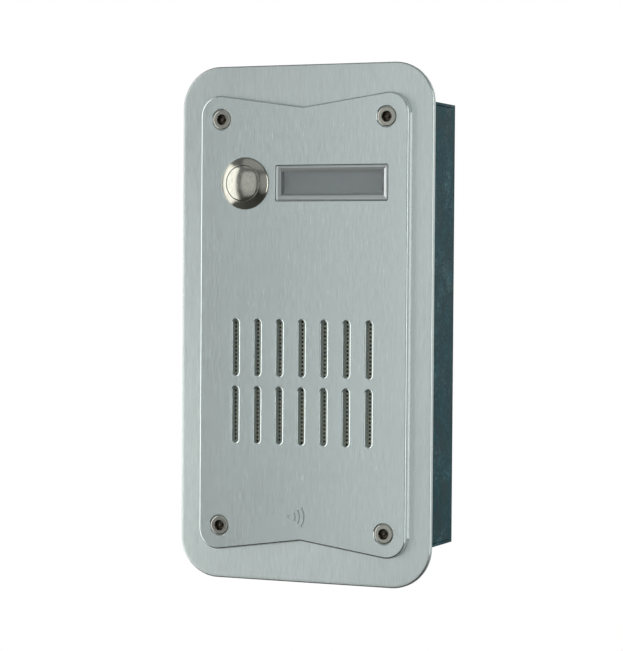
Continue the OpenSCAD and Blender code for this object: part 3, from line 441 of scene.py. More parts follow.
# Depth in mm of the name window's clear pane; its rim, in front of that, is frosted
PANE_Y = -4.7
LOOKS = {
    "brushed_aluminium": brushed("panel_aluminium", (0.63, 0.70, 0.685), 0.25, GRAIN_Z, 0.11,
                                 anisotropic=0.35, cut_from=-5.2 * MM),
    "galvanised_sheet": galvanised("galvanised_box"),
    "stainless_steel": polished("screw_steel", (0.43, 0.43, 0.385), 0.24, 0.12),
    "polished_nickel": polished("polished_nickel", (0.52, 0.515, 0.455), 0.2, 0.1, satin=1.0),
    "zinc_plate": zinc("zinc_plating", (0.62, 0.65, 0.68)),
    "spring_steel": polished("spring_wire", (0.55, 0.56, 0.58), 0.24, 0.1),
    "grille_steel": zinc("grille_plating", (0.52, 0.53, 0.46), 0.5),
    "black_cloth": woven("acoustic_cloth", (0.004, 0.004, 0.004), (0.03, 0.03, 0.03), 3200),
    "black_rubber": moulded("moulded_rubber", (0.018, 0.018, 0.019), 0.72, 1800, 5e-6),
    "nylon": moulded("natural_nylon", (0.72, 0.70, 0.62), 0.42, 1400, 2e-6, 0.05),
    "brass": polished("bare_brass", (0.78, 0.55, 0.23), 0.26, 0.18),
    "frame_steel": zinc("pressed_steel", (0.17, 0.185, 0.20), 0.40),
    "ferrite": moulded("sintered_ferrite", (0.045, 0.045, 0.05), 0.55, 5200, 7e-6, 0.2),
    "paper_cone": paper("pressed_paper", (0.035, 0.034, 0.034)),
    "spider_cloth": woven("spider_cloth", (0.22, 0.10, 0.025), (0.55, 0.31, 0.09), 2600),
    "phenolic": moulded("phenolic_laminate", (0.27, 0.12, 0.045), 0.38, 3000, 2e-6, 0.25),
    "enamelled_copper": brushed("copper_winding", (0.60, 0.24, 0.10), 0.3,
                                (500, 7000, 500), 0.3, 0.1, 0.3, 20e-6),
    "clear_window": clear_plastic("clear_polycarbonate", (PANE_Y - 0.02) * MM),
    "label_card": paper("label_card", (0.41, 0.47, 0.475), 1500, 0.6, 6e-6),
    "black_plastic": moulded("black_plastic", (0.022, 0.022, 0.024), 0.46),
    "opal_acrylic": glowing("opal_acrylic", (0.86, 0.88, 0.87), 0.2),
    "led_lens": glowing("lamp_lens", (0.90, 0.82, 0.36), 1.0),
    "circuit_board": circuit_board("circuit_board"),
    "terminal_green": moulded("terminal_plastic", (0.035, 0.26, 0.07), 0.4, 2400, 2e-6),
    "laminated_core": laminated("laminated_core"),
    "capacitor_sleeve": sleeved("capacitor_sleeve"),
    "trimmer_blue": moulded("trimmer_plastic", (0.02, 0.07, 0.32), 0.36, 2400, 2e-6),
    "rotor_white": moulded("rotor_plastic", (0.74, 0.72, 0.64), 0.42, 2200, 2e-6, 0.05),
    "capsule_metal": brushed("capsule_can", (0.70, 0.71, 0.72), 0.3, (600, 3000, 600)),
    "button_lead": moulded("red_lead", (0.42, 0.015, 0.012), 0.36, 1800, 4e-6, 0.1, 0.2),
    "speaker_lead": moulded("yellow_lead", (0.60, 0.42, 0.02), 0.36, 1800, 4e-6, 0.1, 0.2),
    "lamp_lead": moulded("orange_lead", (0.55, 0.14, 0.01), 0.36, 1800, 4e-6, 0.1, 0.2),
    "mic_lead": moulded("white_lead", (0.66, 0.66, 0.63), 0.36, 1800, 4e-6, 0.06, 0.2),
}
# Painted shade: dark dull steel on the security screws' sockets and pins, standing in for the
# shade deep inside them
SOCKET_SHADE_LOOK = polished("socket_painted_shade", (0.11, 0.095, 0.075), 0.45)
# Painted shade: an opaque grey in the groove round the name window's pane, in place of the dark
# gap line there
GAP_SHADE_LOOK = moulded("gap_shade_line", (0.30, 0.33, 0.33), 0.6, 2400, 4e-6)
# A CAD node comes with a material that is named for its slot
for node in NODES.values():
    slot = node.data.materials[0].name.split(".")[0]
    node.material_slots[0].material = LOOKS[slot].material
# The surround is rougher than the front plate, and its tone carries a painted shade that darkens
# it towards the top and the left
SURROUND_LOOK = brushed("surround_aluminium", (0.64, 0.71, 0.69), 0.36, GRAIN_Z, 0.12,
                        anisotropic=0.35, cut_from=-1.9 * MM, painted_shade_rate=(-6, 5))


# ---- Mesh building -----------------------------------------------------------------


def centre(node):
    """Middle of a CAD node's box, as x and z."""
    lo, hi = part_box(node)
    return (lo.x + hi.x) / 2, (lo.z + hi.z) / 2


def circle(r, n=96):
    """Outline of a circle."""
    return [(r * math.cos(math.tau * k / n), r * math.sin(math.tau * k / n)) for k in range(n)]


def rounded(w, h, r, n=8):
    """Outline of a rectangle with round corners, 4 * (n + 1) points."""
    points = []
    for i, (sx, sz) in enumerate(((1, 1), (-1, 1), (-1, -1), (1, -1))):
        for k in range(n + 1):
            a = math.pi / 2 * (i + k / n)
            points.append((sx * (w / 2 - r) + r * math.cos(a), sz * (h / 2 - r) + r * math.sin(a)))
    return points


def lobed(r, lobe, count=6, n=96):
    """A circle with round lobes standing out of it."""
    points = []
    for k in range(n):
        a = math.tau * k / n
        bulge = max(0.0, math.cos(count * a)) ** 0.6
        points.append(((r + lobe * bulge) * math.cos(a), (r + lobe * bulge) * math.sin(a)))
    return points


def fillet(profile, radii, steps=4):
    """Rounds the corners of an open profile of (across, along) points."""
    out = [profile[0]]
    for k in range(1, len(profile) - 1):
        a, b, c = (Vector(profile[j]) for j in (k - 1, k, k + 1))
        r = min(radii.get(k, 0), 0.45 * (a - b).length, 0.45 * (c - b).length)
        if not r:
            out.append(tuple(b))
            continue
        start, end = b + (a - b).normalized() * r, b + (c - b).normalized() * r
        for j in range(steps + 1):
            t = j / steps
            out.append(tuple(start * (1 - t) ** 2 + b * 2 * t * (1 - t) + end * t * t))
    return out + [profile[-1]]


def shade(bm, angle=35.0):
    """Smooth faces, with sharp edges where the surface turns by more than angle."""
    for face in bm.faces:
        face.smooth = True
    limit = math.radians(angle)
    for edge in bm.edges:
        if len(edge.link_faces) == 2:
            edge.smooth = edge.calc_face_angle(0) < limit


def finished(name, bm, slot, body, node, look=None):
    """Turns a bmesh into a piece that rides on a body and stands for a CAD node."""
    bmesh.ops.recalc_face_normals(bm, faces=bm.faces[:])
    shade(bm)
    mesh = bpy.data.meshes.new(name)
    bm.to_mesh(mesh)
    bm.free()
    mesh.materials.append((look or LOOKS[slot]).material)
    obj = bpy.data.objects.new(name, mesh)
    SCENE.collection.objects.link(obj)
    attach(obj, body)
    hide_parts(node)
    return obj


def join_rows(bm, rows, cap=True):
    """Joins rows of vertices of equal length into a tube."""
    for a, b in zip(rows, rows[1:]):
        for k in range(len(a)):
            bm.faces.new((a[k - 1], a[k], b[k], b[k - 1]))
    if cap:
        bm.faces.new(rows[0])
        bm.faces.new(reversed(rows[-1]))


def loft(bm, at, rings, cap=True):
    """Joins rings of equal length: each is (depth in mm, outline in mm) about the axis at."""
    x, z = at
    rows = [[bm.verts.new((x + px * MM, y * MM, z + pz * MM)) for px, pz in outline]
            for y, outline in rings]
    join_rows(bm, rows, cap)


def close_flat(bm, y):
    """Fills the open loops that lie at a depth in mm, leaving their holes open."""
    loops = [e for e in bm.edges
             if e.is_boundary and all(abs(v.co.y - y * MM) < 1e-7 for v in e.verts)]
    bmesh.ops.triangle_fill(bm, use_beauty=True, edges=loops, normal=(0, -1, 0))


def lathe(bm, at, profile, n=96, cap=True):
    """Turns a profile of (radius, depth) in mm about an axis along Y."""
    loft(bm, at, [(y, circle(max(r, 0.01), n)) for r, y in profile], cap)


def add_modifier(obj, kind, **values):
    """Adds a modifier and sets its properties."""
    modifier = obj.modifiers.new(kind.title(), kind)
    for key, value in values.items():
        setattr(modifier, key, value)


# ---- Front plate -------------------------------------------------------------------

# The pieces' sizes and places are in mm, and MM scales them as their meshes are made
FRONT_Y, REAR_Y = -5.5, -2.5
SIDE_X = 48.9
CORNER_R, CORNER_STEPS = 9.0, 24
# Half the plate's height at its corners, and at the notches in the middle of its ends
PEAK_Z, NOTCH_Z = 99.6, 94.0
CORNER_X, CORNER_Z = SIDE_X - CORNER_R, PEAK_Z - CORNER_R
# Angle at which each end's edge falls from a corner to the notch
SLOPE = (math.asin(CORNER_R / math.hypot(CORNER_X, NOTCH_Z - CORNER_Z))
         - math.atan2(NOTCH_Z - CORNER_Z, CORNER_X))
EDGE_R = 0.8
GRILLE_Z = -25.3
SLOT_PITCH, ROW_PITCH = 10.5, 29.45
SLOT_W, SLOT_LEN = 3.1, 24.6
# Depth of the slots' rounded mouths, and how many times as wide they are
LIP, LIP_SPREAD = 0.4, 2.0
SCREW_X, SCREW_Z = 38.9, 89.1
BUTTON_HOLE_R = 9.6
WINDOW_W, WINDOW_H = 53.0, 15.7
# Width that the step behind the window adds to it
STEP_GROW = 3
GASKET_X, GASKET_Z, GASKET_W = 46.3, 83.0, 2.2
# Where the window's step and the gasket's groove end
STEP_Y = REAR_Y - 1
MARK_X, MARK_Z = -5.0, -83.6
FLOOR_Y = FRONT_Y + 0.35
# Fine groove round the edge, and the cove at its foot
GROOVE_Y, GROOVE_REAR_Y, GROOVE = -4.6, -4.4, 0.1
FOOT, COVE_H = 1.0, 1.7
COVE_R = (FOOT**2 + COVE_H**2) / (2 * FOOT)


def plate_outline(inset, out=0.0):
    """The plate's edge shrunk by inset, its straight sides moved out by out."""
    r = CORNER_R - inset
    quarter = [(SIDE_X - inset + out, CORNER_Z)]
    for k in range(CORNER_STEPS + 1):
        a = (math.pi / 2 + SLOPE) * k / CORNER_STEPS
        quarter.append((CORNER_X + r * math.cos(a), CORNER_Z + r * math.sin(a)))
    top = quarter + [(0, NOTCH_Z - inset / math.cos(SLOPE))] + [(-x, z) for x, z in quarter[::-1]]
    return top + [(-x, -z) for x, z in top]


def stadium(w, length, n=12):
    """Upright slot outline with round ends."""
    points = []
    for k in range(2 * n + 2):
        a = math.pi * (k - k // (n + 1)) / n
        shift = (length - w) / 2 * (1 if k <= n else -1)
        points.append((w / 2 * math.cos(a), shift + w / 2 * math.sin(a)))
    return points


def ring_sector(r, width, spread, n=16):
    """Outline of a piece of a ring, to either side of the X axis."""
    angles = [spread * (k / n * 2 - 1) for k in range(n + 1)]
    outer = [((r + width / 2) * math.cos(a), (r + width / 2) * math.sin(a)) for a in angles]
    inner = [((r - width / 2) * math.cos(a), (r - width / 2) * math.sin(a)) for a in angles]
    return outer + inner[::-1]


def rounded_mouth(r, steps=3, spread=1.0):
    """Growth and depth of the rings of a hole's rounded front edge, spread times as wide."""
    turns = [math.pi / 2 * k / steps for k in range(steps + 1)]
    return [(r * spread * (1 - math.sin(a)), FRONT_Y + r * (1 - math.cos(a))) for a in turns]


bm = bmesh.new()
edge = [(y, plate_outline(inset)) for inset, y in rounded_mouth(EDGE_R, 4)]
groove = [(GROOVE_Y, 0.0), (GROOVE_Y, -GROOVE), (GROOVE_REAR_Y, -GROOVE)]
cove = [(GROOVE_REAR_Y + h, COVE_R - math.sqrt(COVE_R**2 - h * h))
        for h in (COVE_H * k / 8 for k in range(9))]
edge += [(y, plate_outline(0, out)) for y, out in groove + cove + [(REAR_Y, FOOT)]]
loft(bm, (0, 0), edge, cap=False)

grille_slot = [(y, stadium(SLOT_W + 2 * grow, SLOT_LEN + 2 * grow))
               for grow, y in rounded_mouth(LIP, 5, LIP_SPREAD)]
grille_slot.append((REAR_Y, grille_slot[-1][1]))
for i in range(-3, 4):
    for row in (-0.5, 0.5):
        at = (i * SLOT_PITCH * MM, (GRILLE_Z + row * ROW_PITCH) * MM)
        loft(bm, at, grille_slot, cap=False)

# The cover screws' countersinks, and the room for their washers behind
countersink = [(4.84, FRONT_Y), (4.77, FRONT_Y + 0.03), (4.7, FRONT_Y + 0.12),
               (2.6, FRONT_Y + 2.2), (4.4, FRONT_Y + 2.2), (4.4, REAR_Y)]
for x in (-SCREW_X, SCREW_X):
    for z in (-SCREW_Z, SCREW_Z):
        lathe(bm, (x * MM, z * MM), countersink, 64, cap=False)
button_hole = [(BUTTON_HOLE_R + grow, y) for grow, y in rounded_mouth(0.2)]
lathe(bm, centre("button_body"), button_hole + [(BUTTON_HOLE_R, REAR_Y)], cap=False)

window = [(y, rounded(WINDOW_W + 2 * grow, WINDOW_H + 2 * grow, 1 + grow))
          for grow, y in rounded_mouth(0.15)]
step = rounded(WINDOW_W + STEP_GROW, WINDOW_H + STEP_GROW, 1)
window += [(STEP_Y, window[-1][1]), (STEP_Y, step), (REAR_Y, step)]
loft(bm, centre("name_window"), window, cap=False)

# The gasket's groove, in the rear face
for side in (-1, 1):
    ring = rounded(2 * GASKET_X + side * GASKET_W, 2 * GASKET_Z + side * GASKET_W, 3 + side)
    loft(bm, (0, 0), [(REAR_Y, ring), (STEP_Y, ring)], cap=False)

# Engraved mark: a dot with three sound waves
waves = [ring_sector(r, 0.8, math.atan2(9, 12)) for r in (2.8, 4.9, 7.0)]
for shape in [circle(0.9, 32)] + waves:
    loft(bm, (MARK_X * MM, MARK_Z * MM), [(FRONT_Y, shape), (FLOOR_Y, shape)], cap=False)

bmesh.ops.remove_doubles(bm, verts=bm.verts[:], dist=1e-7)
for y in (FRONT_Y, REAR_Y, FLOOR_Y, STEP_Y):
    close_flat(bm, y)
cover = finished("front_cover", bm, "brushed_aluminium", "front_panel", "front_plate")
add_modifier(cover, "WEIGHTED_NORMAL", keep_sharp=True)

# ---- Surround plate ----------------------------------------------------------------

SURROUND_W, SURROUND_H, SURROUND_R = 118.4, 225.0, 18.0
REAR_CHAMFER = 0.15
# Inset of each ring of its eased front edge, and its depth behind the front face
EASED_EDGE = ((1.7, 0.0), (0.6, 0.08), (0.42, 0.13), (0.18, 0.3), (0.05, 0.56), (0.0, 0.9))
OPENING_W, OPENING_H = 88.0, 162.0
# The box's mouth sits in a shallow pocket in the rear face
POCKET_W, POCKET_H, POCKET_Y = 104.4, 193.6, -0.4
# Screws that hold the surround to the box's tabs
TAB_X, TAB_Z = 20.0, 88.0
TAB_HEAD_R, TAB_HOLE_R = 4.0, 2.2
COVER_HOLE_R = 3.6


def surround_outline(inset):
    """The surround's edge shrunk by inset."""
    return rounded(SURROUND_W - 2 * inset, SURROUND_H - 2 * inset, SURROUND_R - inset, 24)


bm = bmesh.new()
edge = [(REAR_Y + depth, surround_outline(inset)) for inset, depth in EASED_EDGE]
edge += [(-REAR_CHAMFER, surround_outline(0)), (0, surround_outline(REAR_CHAMFER))]
loft(bm, (0, 0), edge, cap=False)
opening = rounded(OPENING_W, OPENING_H, 4)
pocket = rounded(POCKET_W, POCKET_H, 1)
loft(bm, (0, 0), [(REAR_Y, opening), (POCKET_Y, opening)], cap=False)
loft(bm, (0, 0), [(POCKET_Y, pocket), (0, pocket)], cap=False)
bore = [(COVER_HOLE_R, REAR_Y), (COVER_HOLE_R, POCKET_Y)]
countersink = [(TAB_HEAD_R, REAR_Y), (TAB_HOLE_R, REAR_Y + TAB_HEAD_R - TAB_HOLE_R),
               (TAB_HOLE_R, POCKET_Y)]
for x in (-1, 1):
    for z in (-1, 1):
        lathe(bm, (x * SCREW_X * MM, z * SCREW_Z * MM), bore, 48, cap=False)
        lathe(bm, (x * TAB_X * MM, z * TAB_Z * MM), countersink, 48, cap=False)
bmesh.ops.remove_doubles(bm, verts=bm.verts[:], dist=1e-7)
for y in (REAR_Y, POCKET_Y, 0):
    close_flat(bm, y)
surround = finished("surround_frame", bm, "brushed_aluminium", "back_box", "surround_plate",
                    look=SURROUND_LOOK)
add_modifier(surround, "WEIGHTED_NORMAL", keep_sharp=True)

# ---- Button ------------------------------------------------------------------------

BUTTON = centre("button_body")
BARREL_R, BARREL_END_Y = 9.4, 7.0
BORE_R = 7.85
BEZEL_R = 11.4
# A thin hem closes the bezel round the seal, which its seat presses on the plate
HEM_Y, SEAT_Y, HEM_W = -5.54, -5.8, 0.25
# Half the thickness of the web on which the spring stands, and the web's hole for the stem
WEB_Y, STEM_HOLE_R = 1.0, 3.06
# The domed face's depth at the bore and at the bezel's edge
BORE_Y, BRIM_Y = -8.3, -6.2
DOME_Y = (BORE_R**2 + BORE_Y**2 - BEZEL_R**2 - BRIM_Y**2) / (2 * (BORE_Y - BRIM_Y))
DOME_R = math.hypot(BEZEL_R, BRIM_Y - DOME_Y)
# The dome rolls over into the bezel's upright side
ROLL_R = 1.25
ROLL_START = (BEZEL_R - ROLL_R) / (1 - ROLL_R / DOME_R)


def dome(r):
    """Depth of the bezel's domed face at a radius."""
    return DOME_Y - math.sqrt(DOME_R**2 - r * r)


bm = bmesh.new()
face = [(r, dome(r)) for r in (8.1 + 0.3 * k for k in range(9))]
tilt = math.asin(ROLL_START / DOME_R)
roll = [(ROLL_START + ROLL_R * (math.sin(a) - math.sin(tilt)),
         dome(ROLL_START) + ROLL_R * (math.cos(tilt) - math.cos(a)))
        for a in (tilt + (math.pi / 2 - tilt) * k / 10 for k in range(11))]
outside = roll + [(BEZEL_R, HEM_Y), (BEZEL_R - HEM_W, HEM_Y), (BEZEL_R - HEM_W, SEAT_Y),
                  (BARREL_R, SEAT_Y)]
inside = fillet([(BORE_R, -7.2), (BORE_R, dome(BORE_R) + 0.02), face[0]], {1: 0.22})
barrel = [(BARREL_R, BARREL_END_Y - 0.4), (BARREL_R - 0.4, BARREL_END_Y), (BORE_R, BARREL_END_Y),
          (BORE_R, WEB_Y), (STEM_HOLE_R, WEB_Y), (STEM_HOLE_R, -WEB_Y), (BORE_R, -WEB_Y),
          (BORE_R, -7.2)]
lathe(bm, BUTTON, inside[:-1] + face + outside + barrel, 128, cap=False)
bmesh.ops.remove_doubles(bm, verts=bm.verts[:], dist=1e-7)
finished("button_bezel", bm, "polished_nickel", "front_panel", "button_body")

CAP_R = 7.7
CAP_EDGE = -8.2
CAP_RISE = 1.45
CAP_DOME_R = (CAP_R**2 + CAP_RISE**2) / (2 * CAP_RISE)
# The cap is hollow behind, round a stem with a groove for the circlip
SKIRT_R, SKIRT_END_Y, HOLLOW_Y = 6.3, -3.6, -6.5
STEM_R, STEM_END_Y = 3.0, 4.5
CLIP_R, CLIP_Y, CLIP_END_Y = 2.6, 1.05, 1.65
bm = bmesh.new()
crown = [(r, CAP_EDGE - CAP_RISE + CAP_DOME_R - math.sqrt(CAP_DOME_R**2 - r * r))
         for r in (0.05, 0.6, 1.4, 2.2, 3.0, 3.8, 4.6, 5.4, 6.2, 6.8, 7.3)]
edge = fillet([crown[-1], (CAP_R, CAP_EDGE + 0.03), (CAP_R, SKIRT_END_Y), (SKIRT_R, SKIRT_END_Y)],
              {1: 0.35, 2: 0.2})
stem = [(SKIRT_R, HOLLOW_Y), (STEM_R, HOLLOW_Y), (STEM_R, CLIP_Y), (CLIP_R, CLIP_Y),
        (CLIP_R, CLIP_END_Y), (STEM_R, CLIP_END_Y), (STEM_R, STEM_END_Y - 0.3),
        (STEM_R - 0.3, STEM_END_Y), (0.05, STEM_END_Y)]
lathe(bm, BUTTON, crown + edge[1:] + stem, 128)
finished("button_crown", bm, "polished_nickel", "call_button", "button_cap")

# Return spring: it stands on the bezel's web
SPRING_Y = (-6.45, -WEB_Y - 0.02)
SPRING_R, WIRE_R = 4.6, 0.3
# Turns in all, and how much of a turn lies flat at each end
TURNS, FLAT_TURNS = 5, 0.45
TURN_STEPS = 32
bm = bmesh.new()
rows = []
for k in range(TURNS * TURN_STEPS + 1):
    turn = k / TURN_STEPS
    rise = min(max((turn - FLAT_TURNS) / (TURNS - 2 * FLAT_TURNS), 0), 1)
    y = SPRING_Y[0] + WIRE_R + rise * (SPRING_Y[1] - SPRING_Y[0] - 2 * WIRE_R)
    a = math.tau * turn
    row = []
    for px, py in circle(WIRE_R, 12):
        r = SPRING_R + px
        row.append(bm.verts.new((BUTTON[0] + r * math.cos(a) * MM, (y + py) * MM,
                                 BUTTON[1] + r * math.sin(a) * MM)))
    rows.append(row)
join_rows(bm, rows)
spring = finished("return_spring", bm, "spring_steel", "front_panel", "button_spring")
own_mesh(spring)

# ---- Cover screws ------------------------------------------------------------------

SCREW_HEAD_Y = -5.42
SCREW_HEAD_R = 4.35
SHANK_R, SHANK_END_Y = 2.45, 5.1
THREAD_PITCH, THREAD_CUT = 0.8, 0.22


def thread(start, end):
    """Points (radius, depth) of the shank's thread between two depths."""
    turns = int((end - start) / THREAD_PITCH)
    points = []
    for k in range(turns):
        y = start + k * THREAD_PITCH
        points += [(SHANK_R, y), (SHANK_R - THREAD_CUT, y + THREAD_PITCH / 2)]
    return points + [(SHANK_R, start + turns * THREAD_PITCH)]


# From the middle out: the drive's pin, its lobed socket, turning marks, the rounded rim
pin = [(SCREW_HEAD_Y + 0.9, circle(0.05)), (SCREW_HEAD_Y + 0.93, circle(0.5)),
       (SCREW_HEAD_Y + 1.1, circle(0.72)), (SCREW_HEAD_Y + 2.1, circle(0.75))]
socket = [(SCREW_HEAD_Y + 2.1, lobed(1.9, 0.34)), (SCREW_HEAD_Y + 0.35, lobed(1.92, 0.35)),
          (SCREW_HEAD_Y + 0.06, circle(2.3)), (SCREW_HEAD_Y, circle(2.38))]
marks = [(2.4 + 0.1 * k, SCREW_HEAD_Y + 0.015 * (k % 2)) for k in range(1, 14)]
rim = [(3.8, SCREW_HEAD_Y + 0.03), (4.0, SCREW_HEAD_Y + 0.1), (4.18, SCREW_HEAD_Y + 0.23),
       (4.3, SCREW_HEAD_Y + 0.4), (SCREW_HEAD_R, SCREW_HEAD_Y + 0.6)]
head = marks + rim + [(SHANK_R, SCREW_HEAD_Y + 2.5)]
shank = thread(-2.9, SHANK_END_Y - 0.6) + [(1.9, SHANK_END_Y), (0.05, SHANK_END_Y)]
outer = [(y, circle(r)) for r, y in head + shank]
socket_faces = (len(pin) + len(socket) - 1) * len(circle(1))
lo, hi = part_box("cover_screws")
bm = bmesh.new()
for x in (lo.x + SCREW_HEAD_R * MM, hi.x - SCREW_HEAD_R * MM):
    for z in (lo.z + SCREW_HEAD_R * MM, hi.z - SCREW_HEAD_R * MM):
        before = len(bm.faces)
        loft(bm, (x, z), pin + socket + outer)
        # The faces of the pin and the socket take the painted shade
        bm.faces.ensure_lookup_table()
        for face in bm.faces[before:before + socket_faces]:
            face.material_index = 1
screws = finished("security_screws", bm, "stainless_steel", "front_panel", "cover_screws")
screws.data.materials.append(SOCKET_SHADE_LOOK.material)

# ---- Name window -------------------------------------------------------------------

WINDOW = centre("name_window")
PANE_W, PANE_H = WINDOW_W - 0.4, WINDOW_H - 0.4
PANE_REAR_Y = REAR_Y - 0.02
# Depth of the groove that holds the painted shade line, and the crest of the bead that frames the
# pane
SHADE_LINE_Y, CREST_Y = -4.45, -5.4
# The flange lies in the plate's step, wider than the pane by this much all round
FLANGE, FLANGE_Y = 1.4, -3.4
bm = bmesh.new()
# Distance in from the pane's edge, and depth
profile = fillet([(7.0, PANE_Y), (2.75, PANE_Y), (2.65, SHADE_LINE_Y), (2.35, SHADE_LINE_Y), (2.25, PANE_Y),
                  (0.85, CREST_Y), (0.0, CREST_Y + 0.35), (0.0, FLANGE_Y), (-FLANGE, FLANGE_Y),
                  (-FLANGE, PANE_REAR_Y), (7.0, PANE_REAR_Y)],
                 {1: 0.05, 4: 0.05, 5: 0.5, 6: 0.12, 9: 0.1})
loft(bm, WINDOW, [(y, rounded(PANE_W - 2 * d, PANE_H - 2 * d, max(0.9 - d * 0.5, 0.25)))
                  for d, y in profile])
# The groove at the rim's foot gets an opaque grey, a painted shade line that stands in for the
# dark gap round the pane
for face in bm.faces:
    depth = face.calc_center_median().y
    face.material_index = int((PANE_Y + 0.04) * MM < depth < (SHADE_LINE_Y + 0.05) * MM)
pane = finished("window_pane", bm, "clear_window", "front_panel", "name_window")
pane.data.materials.append(GAP_SHADE_LOOK.material)

# ---- Perforated grille -------------------------------------------------------------

HOLE_PITCH = 1.75
HOLE_R = 0.57
COLUMNS, ROWS = 48, 34
# How far the punched field's faces lie inside the margins' faces
SUNK = 0.02
lo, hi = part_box("grille_mesh")
bm = bmesh.new()
step_x = HOLE_PITCH * math.sin(math.radians(60))
mid_x, mid_z = (lo.x + hi.x) / 2 / MM, (lo.z + hi.z) / 2 / MM
front, back = lo.y / MM + SUNK, hi.y / MM - SUNK
# Each hole sits in a hexagon of sheet, and the hexagons join up
for i in range(COLUMNS):
    for j in range(ROWS):
        cx = mid_x + (i - (COLUMNS - 1) / 2) * step_x
        cz = mid_z + (j - (ROWS - 1) / 2 + (i % 2) / 2) * HOLE_PITCH
        hole, hexagon = [], []
        for k in range(12):
            a = math.radians(30 * k)
            reach = HOLE_PITCH / 2 / math.cos(math.radians(30 if k % 2 == 0 else 0))
            hole.append((cx + HOLE_R * math.cos(a), cz + HOLE_R * math.sin(a)))
            hexagon.append((cx + reach * math.cos(a), cz + reach * math.sin(a)))
        rings = [(front, hexagon), (front, hole), (back, hole), (back, hexagon)]
        loft(bm, (0, 0), rings, cap=False)
bmesh.ops.remove_doubles(bm, verts=bm.verts[:], dist=2e-6)
# Plain margins round the holes
reach_x, reach_z = COLUMNS / 2 * step_x - 0.6, ROWS / 2 * HOLE_PITCH - 0.6
for x0, x1, z0, z1 in ((lo.x / MM, mid_x - reach_x, lo.z / MM, hi.z / MM),
                       (mid_x + reach_x, hi.x / MM, lo.z / MM, hi.z / MM),
                       (mid_x - reach_x, mid_x + reach_x, lo.z / MM, mid_z - reach_z),
                       (mid_x - reach_x, mid_x + reach_x, mid_z + reach_z, hi.z / MM)):
    outline = [(x0, z0), (x1, z0), (x1, z1), (x0, z1)]
    loft(bm, (0, 0), [(front - SUNK, outline), (back + SUNK, outline)])
finished("perforated_sheet", bm, "grille_steel", "front_panel", "grille_mesh")

# ---- Leads and cloth ---------------------------------------------------------------

# The leads get a rounder section
for name in ("button_leads", "speaker_leads", "lamp_leads", "mic_leads"):
    add_modifier(NODES[name], "WELD", merge_threshold=1e-6)
    add_modifier(NODES[name], "SUBSURF", levels=1, render_levels=1)
    for polygon in NODES[name].data.polygons:
        polygon.use_smooth = True

# Box of the dust cloth's CAD node
lo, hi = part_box("acoustic_cloth")

# ---- Floor, light, camera ----------------------------------------------------------


def two_faced(owner, output_kind, lit_kind, lit_colour, seen_kind):
    """Gives a world or material a white look for the camera and another for all other rays.

    Returns the other look's node.
    """
    owner.use_nodes = True
    nodes, links = owner.node_tree.nodes, owner.node_tree.links
    nodes.clear()
    lit, seen = nodes.new(lit_kind), nodes.new(seen_kind)
    lit.inputs["Color"].default_value = (*lit_colour, 1)
    seen.inputs["Color"].default_value = (1, 1, 1, 1)
    path = nodes.new("ShaderNodeLightPath")
    mixer = nodes.new("ShaderNodeMixShader")
    links.new(path.outputs["Is Camera Ray"], mixer.inputs["Fac"])
    links.new(lit.outputs[0], mixer.inputs[1])
    links.new(seen.outputs[0], mixer.inputs[2])
    output = nodes.new(output_kind)
    links.new(mixer.outputs["Shader"], output.inputs["Surface"])
    return lit


world = bpy.data.worlds.new("studio")
SCENE.world = world
dim = two_faced(world, "ShaderNodeOutputWorld", "ShaderNodeBackground", (0.92, 0.97, 1.0),
                "ShaderNodeBackground")
dim.inputs["Strength"].default_value = 0.2

# The panel hangs on a wall, this many metres above a floor
FLOOR_GAP = 0.9
FLOOR_HALF = 4
material = bpy.data.materials.new("pale_floor")
two_faced(material, "ShaderNodeOutputMaterial", "ShaderNodeBsdfDiffuse", (0.12, 0.12, 0.11),
          "ShaderNodeEmission")
mesh = bpy.data.meshes.new("floor")
z = CAD_BOX[0].z - FLOOR_GAP
corners = [(x * FLOOR_HALF, y * FLOOR_HALF, z) for x, y in ((-1, -1), (1, -1), (1, 1), (-1, 1))]
mesh.from_pydata(corners, [], [(0, 1, 2, 3)])
mesh.materials.append(material)
floor = bpy.data.objects.new("floor", mesh)
SCENE.collection.objects.link(floor)

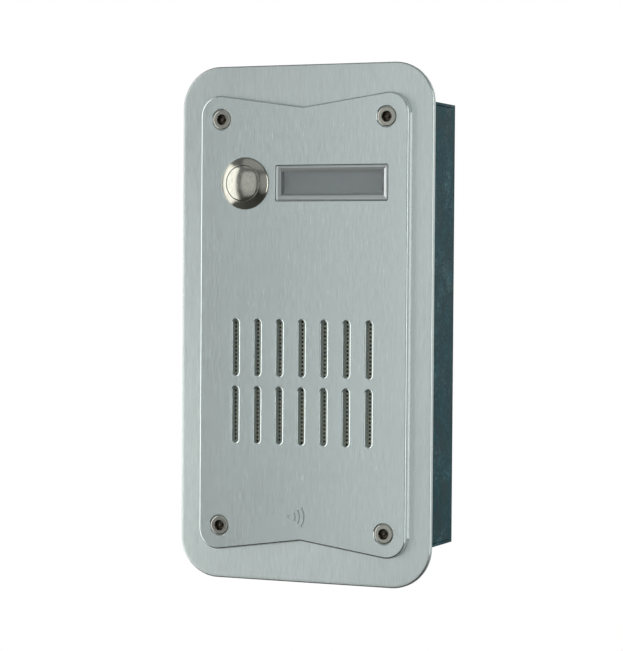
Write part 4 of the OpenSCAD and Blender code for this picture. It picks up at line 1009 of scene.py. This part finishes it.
# The point that the camera and the lights face, in metres
TARGET = Vector((0.0035, -0.0025, -0.00053))


def heading(azimuth, elevation):
    """Unit vector away from the panel; azimuth 0 is its front, positive to the right."""
    return Vector((math.sin(azimuth) * math.cos(elevation),
                   -math.cos(azimuth) * math.cos(elevation), math.sin(elevation)))


def softbox(name, azimuth, elevation, distance, size, power, colour=(1, 1, 1)):
    """An area light that faces the panel."""
    data = bpy.data.lights.new(name, "AREA")
    data.shape, data.size, data.size_y = "RECTANGLE", *size
    data.energy, data.color = power, colour
    light = bpy.data.objects.new(name, data)
    way = heading(math.radians(azimuth), math.radians(elevation))
    light.location = TARGET + way * distance
    light.rotation_euler = way.to_track_quat("Z", "Y").to_euler()
    light.visible_camera = False
    SCENE.collection.objects.link(light)


# Headings in degrees, distances and sizes in metres, power in watts
softbox("fill_front", -7, 2, 1.6, (1.06, 1.7), 3.5, (0.97, 0.99, 1.0))
softbox("key_left", -64, 2, 1.3, (1.15, 1.8), 13.4, (1.0, 0.995, 0.98))
softbox("front_right", 43, 2, 1.6, (0.9, 1.5), 1.4)
softbox("rim_right", 80, 2, 1.5, (0.6, 1.5), 8.6)
softbox("back_right", 138, 4, 1.5, (0.9, 1.2), 3.0)
softbox("back_fill", -170, 12, 1.6, (1.2, 1.2), 7.0)
softbox("overhead", 10, 58, 1.3, (1.5, 0.8), 1.2)

CAMERA_AZIMUTH, CAMERA_ELEVATION, CAMERA_ROLL = (math.radians(v) for v in (23.6, 1.4, 0.40))
CAMERA_DISTANCE = 1.016
SENSOR, LENS = 36, 129.7
data = bpy.data.cameras.new("camera")
data.sensor_width, data.lens = SENSOR, LENS
camera = bpy.data.objects.new("camera", data)
way = heading(CAMERA_AZIMUTH, CAMERA_ELEVATION)
camera.location = TARGET + way * CAMERA_DISTANCE
aim = (-way).to_track_quat("-Z", "Y").to_matrix().to_4x4()
camera.rotation_euler = (aim @ Matrix.Rotation(CAMERA_ROLL, 4, "Z")).to_euler()
SCENE.collection.objects.link(camera)
SCENE.camera = camera
SCENE.view_settings.view_transform = "Standard"
